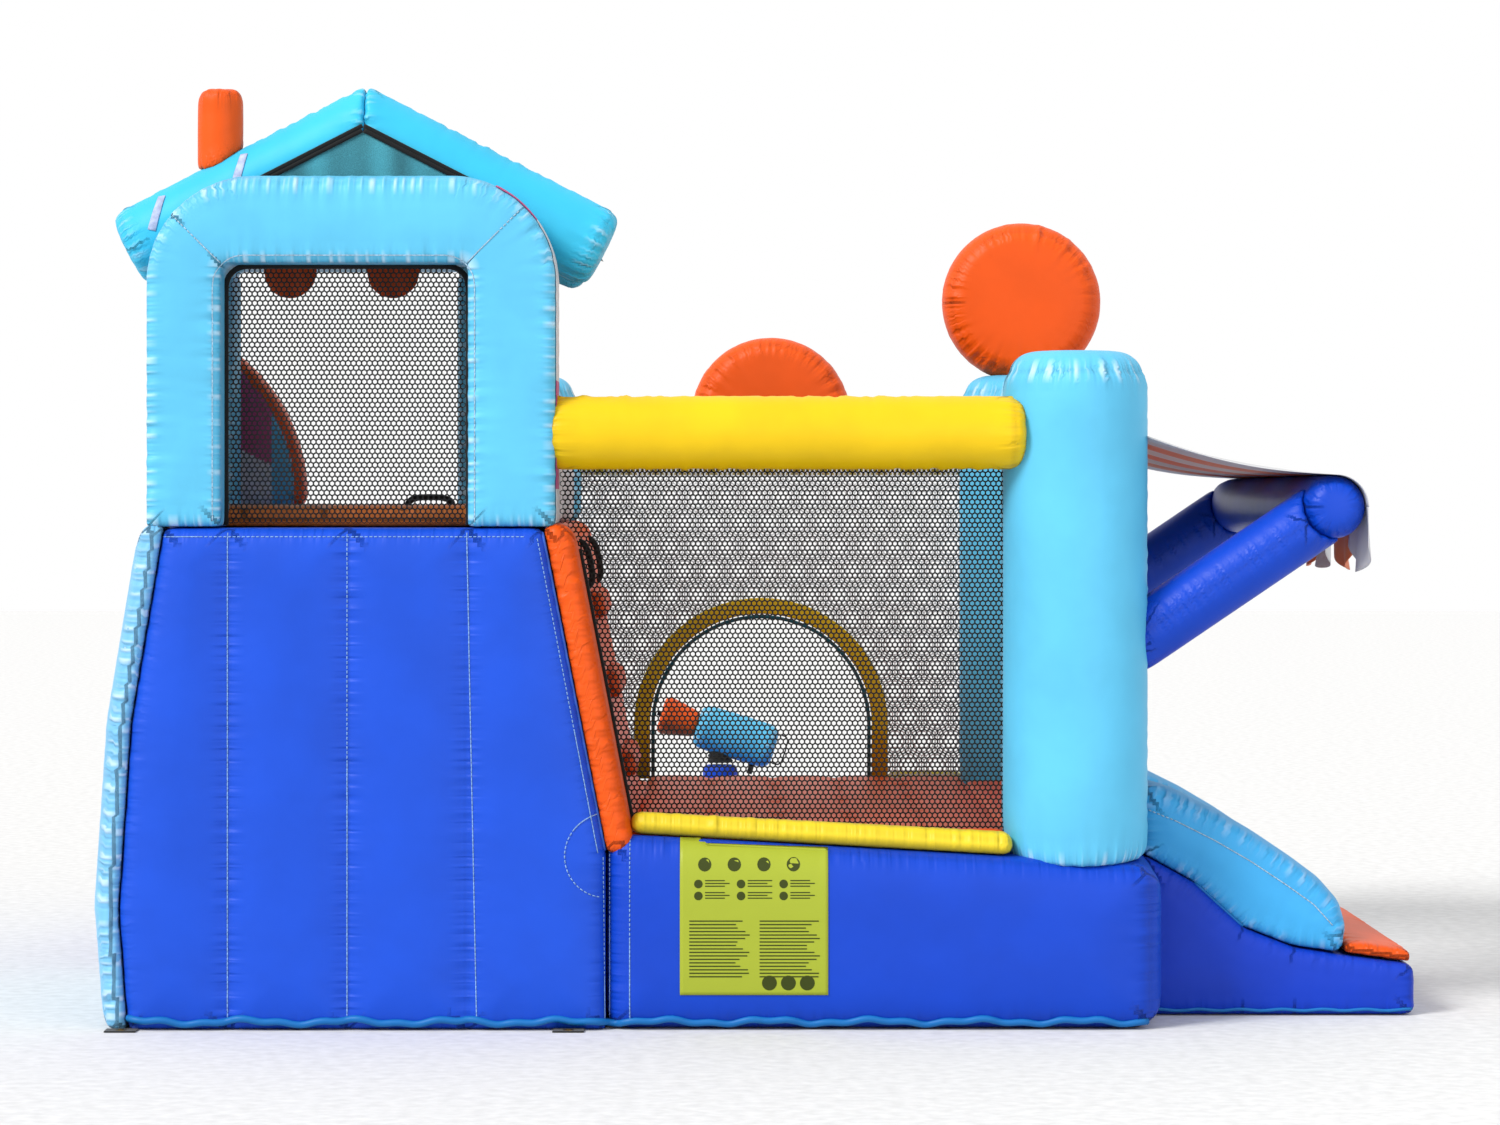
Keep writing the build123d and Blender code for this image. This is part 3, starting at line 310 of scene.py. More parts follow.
def points_of(mesh):
    values = np.empty(len(mesh.vertices) * 3)
    mesh.vertices.foreach_get("co", values)
    return values.reshape(-1, 3)


def normals_of(mesh):
    values = np.empty(len(mesh.vertices) * 3)
    mesh.vertices.foreach_get("normal", values)
    return values.reshape(-1, 3)


def move_points(mesh, points):
    mesh.vertices.foreach_set("co", points.ravel())
    mesh.update()


def relax(mesh, points, rounds):
    """Laplacian smoothing."""
    edges = np.empty(len(mesh.edges) * 2, int)
    mesh.edges.foreach_get("vertices", edges)
    a, b = edges.reshape(-1, 2).T
    count = np.bincount(np.concatenate((a, b)), minlength=len(points))[:, None]
    for _ in range(rounds):
        total = np.zeros_like(points)
        for axis in range(3):
            total[:, axis] = (np.bincount(a, points[b, axis], len(points))
                              + np.bincount(b, points[a, axis], len(points)))
        points = 0.5 * points + 0.5 * total / np.maximum(count, 1)
    return points


def shells(node):
    """The outer surface of each solid in a hollow CAD node, each as a bmesh in the row frame."""
    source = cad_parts[node]
    whole = bmesh.new()
    whole.from_mesh(source.data)
    whole.transform(source.matrix_world)
    bmesh.ops.remove_doubles(whole, verts=whole.verts, dist=2e-5)
    whole.verts.ensure_lookup_table()
    seen, found = set(), []
    for first in whole.verts:
        if first.index in seen:
            continue
        seen.add(first.index)
        group, queue = [], [first]
        while queue:
            vertex = queue.pop()
            group.append(vertex)
            for edge in vertex.link_edges:
                other = edge.other_vert(vertex)
                if other.index not in seen:
                    seen.add(other.index)
                    queue.append(other)
        place = {vertex.index: number for number, vertex in enumerate(group)}
        faces = {face for vertex in group for face in vertex.link_faces}
        faces = sorted(faces, key=lambda face: face.index)
        part = bmesh.new()
        corners = [part.verts.new(vertex.co) for vertex in group]
        for face in faces:
            try:
                part.faces.new([corners[place[v.index]] for v in face.verts])
            except ValueError:
                pass
        part.normal_update()
        if part.calc_volume(signed=True) > 0:
            found.append(part)
        else:
            part.free()
    whole.free()
    return found


def sharp_chains(part):
    """Polylines along a shell's sharp edges, which are its sewn seams."""
    sharp = [e for e in part.edges if len(e.link_faces) == 2 and e.calc_face_angle(0) > 0.6]
    links = {}
    for edge in sharp:
        for vertex in edge.verts:
            links.setdefault(vertex, []).append(edge)
    unused, chains = set(sharp), []
    starts = [v for v in links if len(links[v]) != 2] + list(links)
    for start in starts:
        for edge in links[start]:
            if edge not in unused:
                continue
            chain, vertex = [start.co.copy()], start
            while edge is not None:
                unused.discard(edge)
                vertex = edge.other_vert(vertex)
                chain.append(vertex.co.copy())
                onward = [e for e in links[vertex] if e in unused]
                edge = onward[0] if len(links[vertex]) == 2 and onward else None
            chains.append(chain)
    return chains


def sampled(points, step=0.008):
    """Evenly spaced points along a polyline, and their distance along it."""
    points = np.array([tuple(p) for p in points])
    lengths = np.concatenate(([0], np.cumsum(np.linalg.norm(np.diff(points, axis=0), axis=1))))
    count = max(2, int(lengths[-1] / step) + 1)
    places = np.linspace(0, lengths[-1], count)
    return np.stack([np.interp(places, lengths, points[:, axis]) for axis in range(3)], 1), places


def ring(centre, axis, radius, count=72):
    """A circle of points round an axis."""
    turn = Vector(axis).to_track_quat("Z", "Y")
    centre = Vector(centre)
    angles = [TAU * k / count for k in range(count + 1)]
    return [centre + turn @ Vector((radius * math.cos(a), radius * math.sin(a), 0)) for a in angles]


def box_edges(low, high):
    """The twelve edges of a box."""
    lines = []
    for axis in range(3):
        for side in range(4):
            start = [0.0] * 3
            others = [k for k in range(3) if k != axis]
            start[others[0]] = (low, high)[side & 1][others[0]]
            start[others[1]] = (low, high)[side >> 1][others[1]]
            end = list(start)
            start[axis], end[axis] = low[axis], high[axis]
            lines.append([Vector(start), Vector(end)])
    return lines


def direction_of(side):
    """The unit vector that a side such as "-x" faces."""
    return np.eye(3)["xyz".index(side[1])] * (1 if side[0] == "+" else -1)


def wave(places):
    """Uneven ridges along a seam."""
    parts = ((0.5, 0.047, 0.3), (0.35, 0.031, 1.7), (0.4, 0.083, 4.1))
    return sum(weight * np.sin(TAU * places / length + phase) for weight, length, phase in parts)


SEAM_REACH = 0.09           # a seam line further than this from the shell isn't on it


def puffed(part, voxel, crown, reach, pucker, still, seams, sharp, floor):
    """A remeshed shell, crowned between its seams and puckered along them."""
    lines = list(seams) + (sharp_chains(part) if sharp else [])
    surface = BVHTree.FromBMesh(part)
    source = bpy.data.meshes.new("shell")
    part.to_mesh(source)
    part.free()
    mesh = evaluated(source, ("REMESH", {"mode": "VOXEL", "voxel_size": voxel}))
    points = relax(mesh, points_of(mesh), 4)
    move_points(mesh, points)
    normals = normals_of(mesh)
    tree_points, tree_places = [], []
    for line in lines:
        spots, places = sampled(line)
        offset = random.uniform(0, 5)
        for spot, place in zip(spots, places):
            hit, _, _, gap = surface.find_nearest(Vector(spot))
            if hit is not None and gap < SEAM_REACH:
                tree_points.append(hit)
                tree_places.append(place + offset)
    distance, place = np.full(len(points), 9.0), np.zeros(len(points))
    if tree_points:
        tree = KDTree(len(tree_points))
        for number, spot in enumerate(tree_points):
            tree.insert(spot, number)
        tree.balance()
        for number, spot in enumerate(points):
            _, hit, gap = tree.find(spot)
            distance[number], place[number] = gap, tree_places[hit]
    free = np.ones(len(points))
    for side in still:
        free *= 1 - np.clip(normals @ direction_of(side), 0, 1)
    near = np.clip(distance / reach, 0, 1)
    rise = crown * np.sqrt(np.clip(1 - (1 - near) ** 2, 0, 1)) * free
    points = relax(mesh, points + normals * rise[:, None], 2)
    calm = 0.6 + 0.4 * np.sin(TAU * place / 0.61)
    gather = pucker * calm * (wave(place) - 0.35) * np.exp(-distance / 0.03) * np.maximum(free, 0.25)
    points = points + normals * gather[:, None]
    if floor is not None:
        points[:, 2] = np.maximum(points[:, 2], floor)
    move_points(mesh, points)
    for name, values in (("seam_distance", distance), ("seam_place", place)):
        mesh.attributes.new(name, "FLOAT", "POINT").data.foreach_set("value", values.astype(np.float32))
    return mesh


def outside_runs(chain, others):
    """The runs of a seam that don't lie between two touching chambers."""
    runs, run = [], []
    for point in chain:
        hidden = any((tree.find_nearest(point)[3] or 9) < 0.007 for tree in others)
        if hidden:
            runs.append(run)
            run = []
        else:
            run.append(point)
    return [r for r in runs + [run] if len(r) > 1]


def fused(parts):
    """Touching chambers as one shell, and the seams that still show on it."""
    trees = [BVHTree.FromBMesh(part) for part in parts]
    seams = []
    for number, part in enumerate(parts):
        others = trees[:number] + trees[number + 1:]
        for chain in sharp_chains(part):
            dense = [Vector(spot) for spot in sampled(chain, 0.01)[0]]
            seams += outside_runs(dense, others)
    whole = bmesh.new()
    for part in parts:
        mesh = bpy.data.meshes.new("fused")
        part.to_mesh(mesh)
        whole.from_mesh(mesh)
        part.free()
    return whole, seams


def joined(meshes):
    """Several meshes as one, with their seam attributes."""
    first = meshes[0]
    if len(meshes) == 1:
        return first
    things = [bpy.data.objects.new("part", mesh) for mesh in meshes]
    for thing in things:
        bpy.context.scene.collection.objects.link(thing)
    with bpy.context.temp_override(active_object=things[0], selected_objects=things,
                                   selected_editable_objects=things):
        bpy.ops.object.join()
    mesh = things[0].data
    bpy.data.objects.remove(things[0])
    return mesh


def declared(thing, node, slot):
    """Hides the CAD node that a piece stands for; its slot is not used."""
    if node:
        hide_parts(node)
    return thing


def inflate(node, skin, puff, body=HOUSE, slot=None, parts=None, still=(), seams=(), sharp=True, floor=None,
            fuse=False, shape=None):
    """A padded piece that stands for a hollow CAD node. puff is its voxel, crown, reach and pucker."""
    parts = shells(node) if parts is None else parts
    if fuse:
        whole, outer_seams = fused(parts)
        parts, seams, sharp = [whole], list(seams) + outer_seams, False
    mesh = joined([puffed(part, *puff, still, seams, sharp, floor) for part in parts])
    if shape:
        move_points(mesh, shape(points_of(mesh)))
    thing = add_object(node + "_cloth", mesh, skin, body)
    return declared(thing, node, slot or SLOTS[skin.name])


def keep(node, material):
    """A CAD node that is shown as it is, in a finished material."""
    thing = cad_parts[node]
    for slot in thing.material_slots:
        slot.material = material
    if not thing.material_slots:
        thing.data.materials.append(material)


BACK_OFF = 0.3              # how far before a surface a dropped point starts


def surface_of(thing):
    graph = bpy.context.evaluated_depsgraph_get()
    graph.update()
    return BVHTree.FromObject(thing.evaluated_get(graph), graph), thing.matrix_world.copy()


def laid(things, points, lift, way=1):
    """Points dropped onto puffed pieces along Y, and the surface normals there."""
    surfaces = [surface_of(thing) for thing in things]
    direction = Vector((0, way, 0))
    spots, normals = [], []
    for point in points:
        best = None
        for tree, world in surfaces:
            inverse = world.inverted()
            start = inverse @ (Vector(point) - direction * BACK_OFF)
            ahead = (inverse.to_3x3() @ direction).normalized()
            hit, normal, _, gap = tree.ray_cast(start, ahead, 2 * BACK_OFF)
            if hit is not None and (best is None or gap < best[2]):
                best = (world @ hit, (world.to_3x3() @ normal).normalized(), gap)
        if best is not None:
            spots.append(best[0] + best[1] * lift)
            normals.append(best[1])
    return spots, normals


STITCH, STITCH_WIDTH, STITCH_GAP = 0.009, 0.0030, 0.003


def stitches(name, runs, material=THREAD):
    """Rows of short thread bars. Each run is (points, normals)."""
    vertices, faces = [], []
    for points, normals in runs:
        if len(points) < 2:
            continue
        spots, places = sampled(points, 0.004)
        rows = np.linspace(0, len(normals) - 1, len(spots)).round().astype(int)
        step = STITCH + STITCH_GAP
        for k in range(int(places[-1] / step)):
            first, last = [int(np.searchsorted(places, k * step + more)) for more in (0, STITCH)]
            if last >= len(spots) or last == first:
                continue
            a, b = Vector(spots[first]), Vector(spots[last])
            normal = normals[rows[first]]
            side = (b - a).normalized().cross(normal) * STITCH_WIDTH / 2
            start = len(vertices)
            lift = normal * 0.0012
            vertices += [a - side, b - side, b + side, a + side]
            side *= 0.5
            vertices += [a - side + lift, b - side + lift, b + side + lift, a + side + lift]
            faces += [[start + i for i in f] for f in
                      ((4, 5, 6, 7), (0, 1, 5, 4), (1, 2, 6, 5), (2, 3, 7, 6), (3, 0, 4, 7))]
    return new_object(name, vertices, faces, material)


def band_faces(rings, sides):
    """Quads between rings of points that follow each other."""
    faces = []
    for low in range(0, (rings - 1) * sides, sides):
        for j in range(sides):
            after = (j + 1) % sides
            faces.append((low + j, low + after, low + sides + after, low + sides + j))
    return faces


def end_caps(rings, sides):
    return [tuple(range(sides))[::-1], tuple((rings - 1) * sides + j for j in range(sides))]


def sweep(path, radii, sides, normals=None):
    """A tube, or a flat strap when radii is (half width, half thickness), along a path."""
    path = [Vector(p) for p in path]
    count = len(path)
    wide, thick = radii if isinstance(radii, tuple) else (radii, radii)
    vertices = []
    guess = Vector((0, 0, 1))
    for k, point in enumerate(path):
        along = (path[min(k + 1, count - 1)] - path[max(k - 1, 0)]).normalized()
        up = normals[k] if normals else guess
        side = along.cross(up)
        if side.length < 1e-4:
            side = along.cross(Vector((0, 1, 0.01)))
        side.normalize()
        up = side.cross(along).normalized()
        if not normals:
            guess = up
        for j in range(sides):
            angle = TAU * j / sides
            c, s = math.cos(angle), math.sin(angle)
            if wide != thick:
                c = math.copysign(abs(c) ** 0.4, c)
                s = math.copysign(abs(s) ** 0.4, s)
            vertices.append(point + side * wide * c + up * thick * s)
    return vertices, band_faces(count, sides) + end_caps(count, sides)


def merged(pieces):
    vertices, faces = [], []
    for more_vertices, more_faces in pieces:
        start = len(vertices)
        vertices += more_vertices
        faces += [tuple(start + i for i in face) for face in more_faces]
    return vertices, faces


def piping(name, runs, radius, material):
    vertices, faces = merged([sweep(points, radius, 8) for points in runs if len(points) > 1])
    return new_object(name, vertices, faces, material)


def tape(path, half_width, half_thick, sides=8, facing=-1):
    """A flat tape along a path, facing along Y."""
    return sweep(path, (half_width, half_thick), sides, [Vector((0, facing, 0))] * len(path))


def fitted(name, node, pieces, material, body=HOUSE):
    """Tapes or bands, as one piece that stands for a CAD node."""
    vertices, faces = merged(pieces)
    thing = new_object(name, vertices, faces, material, body)
    return declared(thing, node, SLOTS[material.name])


def dense(points, step):
    return [tuple(spot) for spot in sampled(points, step)[0]]


def inside(polygon, u, v):
    """Even-odd test of points against a polygon, for arrays."""
    result = np.zeros(len(u), bool)
    for (u0, v0), (u1, v1) in zip(polygon, polygon[1:] + polygon[:1]):
        crosses = (v0 > v) != (v1 > v)
        with np.errstate(divide="ignore", invalid="ignore"):
            result ^= crosses & (u < (u1 - u0) * (v - v0) / (v1 - v0) + u0)
    return result


MESH_PITCH, STRAND = 0.0137, 0.0039


def hex_netting(polygon, place, hole=None):
    """Hexagonal mesh over a polygon. place maps arrays (u, v) and a side to points."""
    pitch, rise = MESH_PITCH, MESH_PITCH * math.sqrt(3) / 2
    (u0, v0), (u1, v1) = np.min(polygon, 0), np.max(polygon, 0)
    u0, v0 = math.floor(u0 / pitch) * pitch, math.floor(v0 / rise / 2) * rise * 2
    rows, columns = int((v1 - v0) / rise) + 2, int((u1 - u0) / pitch) + 2
    row, column = np.mgrid[0:rows, 0:columns]
    u = (u0 + column * pitch + (row % 2) * pitch / 2).ravel()
    v = (v0 + row * rise).ravel()
    chosen = inside(polygon, u, v)
    if hole:
        chosen &= ~inside(hole, u, v)
    u, v = u[chosen], v[chosen]
    outer = pitch / math.sqrt(3)
    inner = outer - STRAND / math.sqrt(3)
    angles = np.radians(30 + 60 * np.arange(6))
    layers = []
    for side in (0, 1):
        for radius in (outer, inner):
            ring_u = u[:, None] + radius * np.cos(angles)
            ring_v = v[:, None] + radius * np.sin(angles)
            layers.append(place(ring_u, ring_v, side))
    vertices = np.stack(layers, 1).reshape(-1, 3)
    base = np.arange(len(u))[:, None] * 24
    j, k = np.arange(6), (np.arange(6) + 1) % 6
    quads = [np.stack([j, k, k + 6, j + 6], 1), np.stack([j + 6, k + 6, k + 18, j + 18], 1),
             np.stack([j + 12, j + 18, k + 18, k + 12], 1)]
    faces = (base[:, None, :] + np.concatenate(quads)[None]).reshape(-1, 4)
    return vertices, faces


def declare_sheet(thing, node, slot):
    """Hides the CAD node that a thin sheet stands for."""
    declared(thing, node, slot)
    return thing


def net_object(name, node, polygon, place, material=BLACK_NET, slot="black_netting",
               hole=None):
    """A panel of hexagonal netting that stands for a CAD sheet."""
    vertices, faces = hex_netting(polygon, place, hole)
    thing = new_object(name, vertices, faces, material, smooth=False)
    return declare_sheet(thing, node, slot)


def grid(columns, rows, shape):
    """A sheet of quads. shape(s, t) gives a point, with s and t from 0 to 1."""
    vertices = [shape(i / columns, j / rows) for j in range(rows + 1) for i in range(columns + 1)]
    faces = [(j * (columns + 1) + i, j * (columns + 1) + i + 1, (j + 1) * (columns + 1) + i + 1,
              (j + 1) * (columns + 1) + i) for j in range(rows) for i in range(columns)]
    return vertices, faces


# Tower

QUILT_LINES = (-1.344, -1.041, -0.737)
TOWER_RIGHT_FOOT, TOWER_RIGHT_TOP, BED_TOP, DECK = -0.385, -0.545, 0.45, 1.275


def wall_line(z):
    """The X of the tower's leaning right side at a height."""
    lean = (TOWER_RIGHT_TOP - TOWER_RIGHT_FOOT) / (DECK - BED_TOP)
    return TOWER_RIGHT_FOOT + max(z - BED_TOP, 0) * lean


quilting = [[(x, BACK, 0.0), (x, BACK, DECK)] for x in QUILT_LINES]
tower = inflate("tower_base", ROYAL, (0.011, 0.034, 0.15, 0.003), still=("+x", "-x", "+z", "-z", "+y"),
                floor=0.002, seams=quilting)
inflate("tower_left_wall", PALE_SKY, (0.008, 0.03, 0.12, 0.008), still=("+x", "-z"), floor=0.002)
climb = inflate("climb_wall", ORANGE, (0.009, 0.014, 0.05, 0.004), still=("-x",))
inflate("climb_steps", ORANGE, (0.006, 0.008, 0.03, 0.002), still=("-x",))
inflate("tower_platform", PAINTED_LIGHT_DECK_ORANGE, (0.009, 0.012, 0.10, 0.004), still=("-z",),
        seams=[[(x, at(0.222), 1.323), (x, at(1.19), 1.323)] for x in (-1.33, -1.12, -0.91)])


window = inflate("window_frame", SKY, (0.008, 0.022, 0.09, 0.008), still=("-z", "-x", "+x"), fuse=True)


def drawn_in(points):
    """The tower's far right corner draws in with height."""
    moved = points.copy()
    lift = np.clip((points[:, 2] - 1.42) / 0.2, 0, 1)
    moved[:, 0] -= 0.085 * lift * np.clip((points[:, 0] + 0.84) / 0.35, 0, 1)
    return moved


inflate("slide_frame", SKY, (0.010, 0.02, 0.08, 0.005), still=("-z",), fuse=True, shape=drawn_in)
inflate("facade_frame", WHITE, (0.009, 0.012, 0.05, 0.003), still=("-z",), shape=drawn_in)
inflate("left_rail", SKY, (0.008, 0.004, 0.05, 0.004),
        seams=[[(-1.440, at(0.234), 1.467), (-1.578, at(1.186), 1.467)]])

# Roof

RIDGE = (-1.02, 2.3126)
ROOF_RUN, ROOF_DROP, ROOF_TUBE = 0.602, 0.308, 0.1045
ROOF_LENGTH, SLOPE = math.hypot(ROOF_RUN, ROOF_DROP), ROOF_DROP / ROOF_RUN
GABLES = (0.340, 1.060)


def gable_ends():
    """Each roof tube's depth and side, and its lower end."""
    return [(depth, side, Vector((RIDGE[0] + side * ROOF_RUN, at(depth), RIDGE[1] - ROOF_DROP)))
            for depth in GABLES for side in (-1, 1)]


def eave_rings():
    rings = []
    for _, side, end in gable_ends():
        axis = Vector((side * ROOF_RUN, 0, -ROOF_DROP)) / ROOF_LENGTH
        rings.append(ring(end - axis * 0.022, axis, ROOF_TUBE))
    return rings


def gable_seam_lines():
    """The long seam on the outer top of each roof tube."""
    lines = []
    for depth, side, end in gable_ends():
        up = Vector((side * ROOF_DROP, 0, ROOF_RUN)) / ROOF_LENGTH * ROOF_TUBE
        lines.append([Vector((RIDGE[0], at(depth), RIDGE[1])) + up, end + up])
    return lines


def roof_shape(points):
    """The near gable's tubes a little longer, and the far ones a little shorter."""
    side = np.sign(points[:, 0] - RIDGE[0])
    out = np.clip((np.abs(points[:, 0] - RIDGE[0]) - 0.47) / 0.08, 0, 1)
    reach = np.where(points[:, 1] < at(0.70), 0.018, -0.032) * out
    moved = points.copy()
    moved[:, 0] += reach * side * ROOF_RUN / ROOF_LENGTH
    moved[:, 2] -= reach * ROOF_DROP / ROOF_LENGTH
    return moved


roof = inflate("roof_gables", PAINTED_LIGHT_ROOF_SKY, (0.0085, 0.004, 0.08, 0.0055), shape=roof_shape,
               seams=eave_rings() + gable_seam_lines())
inflate("chimney", ORANGE, (0.006, 0.004, 0.03, 0.003),
        seams=[ring((-1.403, at(0.34), 2.402), (0, 0, 1), 0.050)])

# Bounce bed

bed_low, bed_high = (-0.383, BACK, 0.0), (1.010, at(2.4), BED_TOP)
corner_low, corner_high = (-0.800, at(1.402), 0.0), (-0.385, at(2.4), BED_TOP)


def sloped(points):
    """The bed's near top edge rides up beside the tower and sags towards the exit."""
    x, y, z = points.T
    near = np.clip(1 - (y - BACK) / 0.45, 0, 1)
    high = np.clip((z - 0.2) / 0.25, 0, 1)
    moved = points.copy()
    moved[:, 2] += (0.050 - 0.066 * (x + 0.34)) * near * high
    return moved


def bed_shape(points):
    """The slope, and a right side that stays flat behind the exit slide and the fittings."""
    moved = sloped(points)
    limit = 1.0085 + 0.034 * np.clip(1 - (moved[:, 1] - at(0.22)) / 0.25, 0, 1)
    moved[:, 0] = np.minimum(moved[:, 0], limit)
    return moved


bed = inflate("bed_chamber", BED_ROYAL, (0.012, 0.03, 0.16, 0.004), still=("+z", "-z", "-x"), floor=0.002,
              shape=bed_shape, seams=box_edges(bed_low, bed_high) + box_edges(corner_low, corner_high))
bounce_lines = [[(x, at(0.112), 0.488), (x, at(2.288), 0.488)] for x in (-0.126, 0.064, 0.254, 0.444)]
inflate("bounce_floor", ORANGE, (0.010, 0.012, 0.09, 0.003), still=("-z",), seams=bounce_lines)
inflate("floor_trims", PAINTED_LIGHT_TRIM_YELLOW, (0.006, 0.008, 0.03, 0.004), still=("-z",), shape=sloped,
        seams=[[(-0.316, at(0.045), 0.49), (0.646, at(0.045), 0.49)]])

POSTS = ((0.823, 0.175, 0.175), (0.823, 2.225, 0.175), (-0.666, 2.225, 0.125))


def post_rings(posts):
    rings = []
    for x, depth, radius in posts:
        rings.append(ring((x, at(depth), 1.672), (0, 0, 1), radius - 0.012))
        rings.append(ring((x, at(depth), 0.456), (0, 0, 1), radius))
        rings.append([(x + radius, at(depth), 0.456), (x + radius, at(depth), 1.66)])
    return rings


def post_shape(points):
    """The near post's foot follows the sagging edge of the bed."""
    moved = points.copy()
    near = np.clip(1 - (points[:, 1] - BACK) / 0.35, 0, 1)
    moved[:, 2] -= 0.042 * near * np.clip((0.62 - points[:, 2]) / 0.16, 0, 1)
    return moved


inflate("back_right_post", SKY, (0.0085, 0.016, 0.11, 0.006), still=("-z",), sharp=False, shape=post_shape,
        seams=post_rings(POSTS[:1]))
inflate("front_posts", SKY, (0.011, 0.012, 0.11, 0.006), still=("-z",), sharp=False,
        seams=post_rings(POSTS[1:]))


def beam_shape(points):
    """The beam's left end reaches past the window frame's edge."""
    moved = points.copy()
    moved[:, 0] -= 0.030 * np.clip((-0.40 - points[:, 0]) / 0.06, 0, 1)
    return moved


inflate("back_beam", YELLOW, (0.0075, 0.007, 0.08, 0.005), shape=beam_shape,
        seams=[ring((-0.485, at(0.095), 1.518), (1, 0, 0), 0.088),
               ring((0.655, at(0.095), 1.518), (1, 0, 0), 0.090),
               [(-0.49, at(0.095), 1.61), (0.66, at(0.095), 1.61)],
               [(-0.49, at(0.095), 1.426), (0.66, at(0.095), 1.426)]])
inflate("front_beam", YELLOW, (0.010, 0.006, 0.08, 0.004),
        seams=[[(-0.5, at(2.305), 1.61), (0.64, at(2.305), 1.61)]])
inflate("side_beams", YELLOW, (0.010, 0.006, 0.08, 0.004))
disc_seams = [ring((0.825, at(depth), 1.95), (0, 1, 0), 0.218) for depth in (2.162, 2.288)]
disc_seams += [ring((0.059, at(depth), 1.6), (0, 1, 0), 0.222) for depth in (2.252, 2.358)]
inflate("discs", ORANGE, (0.0085, 0.013, 0.16, 0.007), sharp=False, seams=disc_seams)

# Awning

AWNING_X, AWNING_Z = 1.485, 1.328
CANOPY_ROOT, CANOPY_RADIUS = (1.001, 1.507), 0.0835
cross_seams = [ring((AWNING_X, at(depth), AWNING_Z), (0, 1, 0), 0.074) for depth in (0.115, 2.285)]
inflate("awning_arms", PAINTED_LIGHT_ROYAL_TUBE, (0.007, 0.004, 0.05, 0.003),
        seams=[[(0.905, at(depth), 0.95), (1.43, at(depth), 1.30)] for depth in (0.097, 2.147)])
inflate("awning_cross_tube", PAINTED_LIGHT_ROYAL_TUBE, (0.008, 0.003, 0.05, 0.004), sharp=False, seams=cross_seams)

# Exit slide

exit_side = inflate("exit_slide_bed", PAINTED_LIGHT_EXIT_ROYAL, (0.009, 0.014, 0.09, 0.003), still=("+z", "-z", "-x"),
                    floor=0.002, fuse=True)
inflate("exit_slide_surface", ORANGE, (0.007, 0.012, 0.07, 0.003), still=("-z", "+x"), floor=0.01,
        fuse=True)
exit_bolsters = inflate("exit_slide_bolsters", PAINTED_LIGHT_BOLSTER_SKY, (0.008, 0.022, 0.11, 0.005), still=("-z",))

# Long slide and pool

inflate("slide_bed", ROYAL, (0.015, 0.024, 0.16, 0.003), still=("+z", "-z", "-y"), floor=0.002, fuse=True)
inflate("slide_surface", ORANGE, (0.009, 0.010, 0.08, 0.002), still=("-z",), fuse=True)
inflate("slide_bolsters", SKY, (0.009, 0.005, 0.06, 0.004), fuse=True)
fin = inflate("slide_wings", [PINK, SKY, ORANGE, WHITE], (0.007, 0.014, 0.07, 0.004), slot="white_fabric",
              still=("-z",))
for polygon in fin.data.polygons:
    x, _, z = polygon.center
    if math.hypot(x + 1.796, z - 1.359) > 0.478:
        polygon.material_index = 2
    elif x > -1.384:
        polygon.material_index = 1
    elif z < 1.446 - 0.5 * (x + 1.384):
        polygon.material_index = 3
inflate("pool_walls", ROYAL, (0.013, 0.015, 0.1, 0.004), still=("-z",), floor=0.002,
        seams=[[(0.58, at(2.42), 0.3), (0.58, at(3.7), 0.3)],
               [(-1.5, at(3.86), 0.3), (0.66, at(3.86), 0.3)],
               [(-1.42, at(3.12), 0.3), (-1.42, at(3.7), 0.3)]])


# Netting

NET_BOTTOM, NET_TOP, NET_THICK = 0.492, 1.438, 0.001
ARCH_X, ARCH_SPRING = 0.028, 0.657


def upright(depth):
    """Maps (x, z) and a side to a panel that faces the near wall."""
    def place(u, v, side):
        return np.stack([u, at(depth) + side * NET_THICK + 0.003 * np.sin(u * 9) * np.sin(v * 7), v], -1)
    return place


def lengthways(x):
    """Maps (y, z) and a side to a panel that faces along X."""
    def place(u, v, side):
        return np.stack([x + side * NET_THICK + 0.003 * np.sin(u * 8) * np.sin(v * 7), u, v], -1)
    return place


def rectangle(left, right, low, high):
    return [(left, low), (right, low), (right, high), (left, high)]


def rounded_box(left, right, low, high, radius, steps=6):
    """A rectangle whose top corners are rounded."""
    points = [(left, low), (right, low)]
    for centre, start in (((right - radius, high - radius), 0), ((left + radius, high - radius), 90)):
        for k in range(steps + 1):
            angle = math.radians(start + 90 * k / steps)
            points.append((centre[0] + radius * math.cos(angle), centre[1] + radius * math.sin(angle)))
    return points


def arch_line(radius, steps=40):
    """The front doorway's arch, from foot to foot."""
    points = [(ARCH_X + radius, NET_BOTTOM)]
    for k in range(steps + 1):
        angle = math.pi * k / steps
        points.append((ARCH_X + radius * math.cos(angle), ARCH_SPRING + radius * math.sin(angle)))
    return points + [(ARCH_X - radius, NET_BOTTOM)]


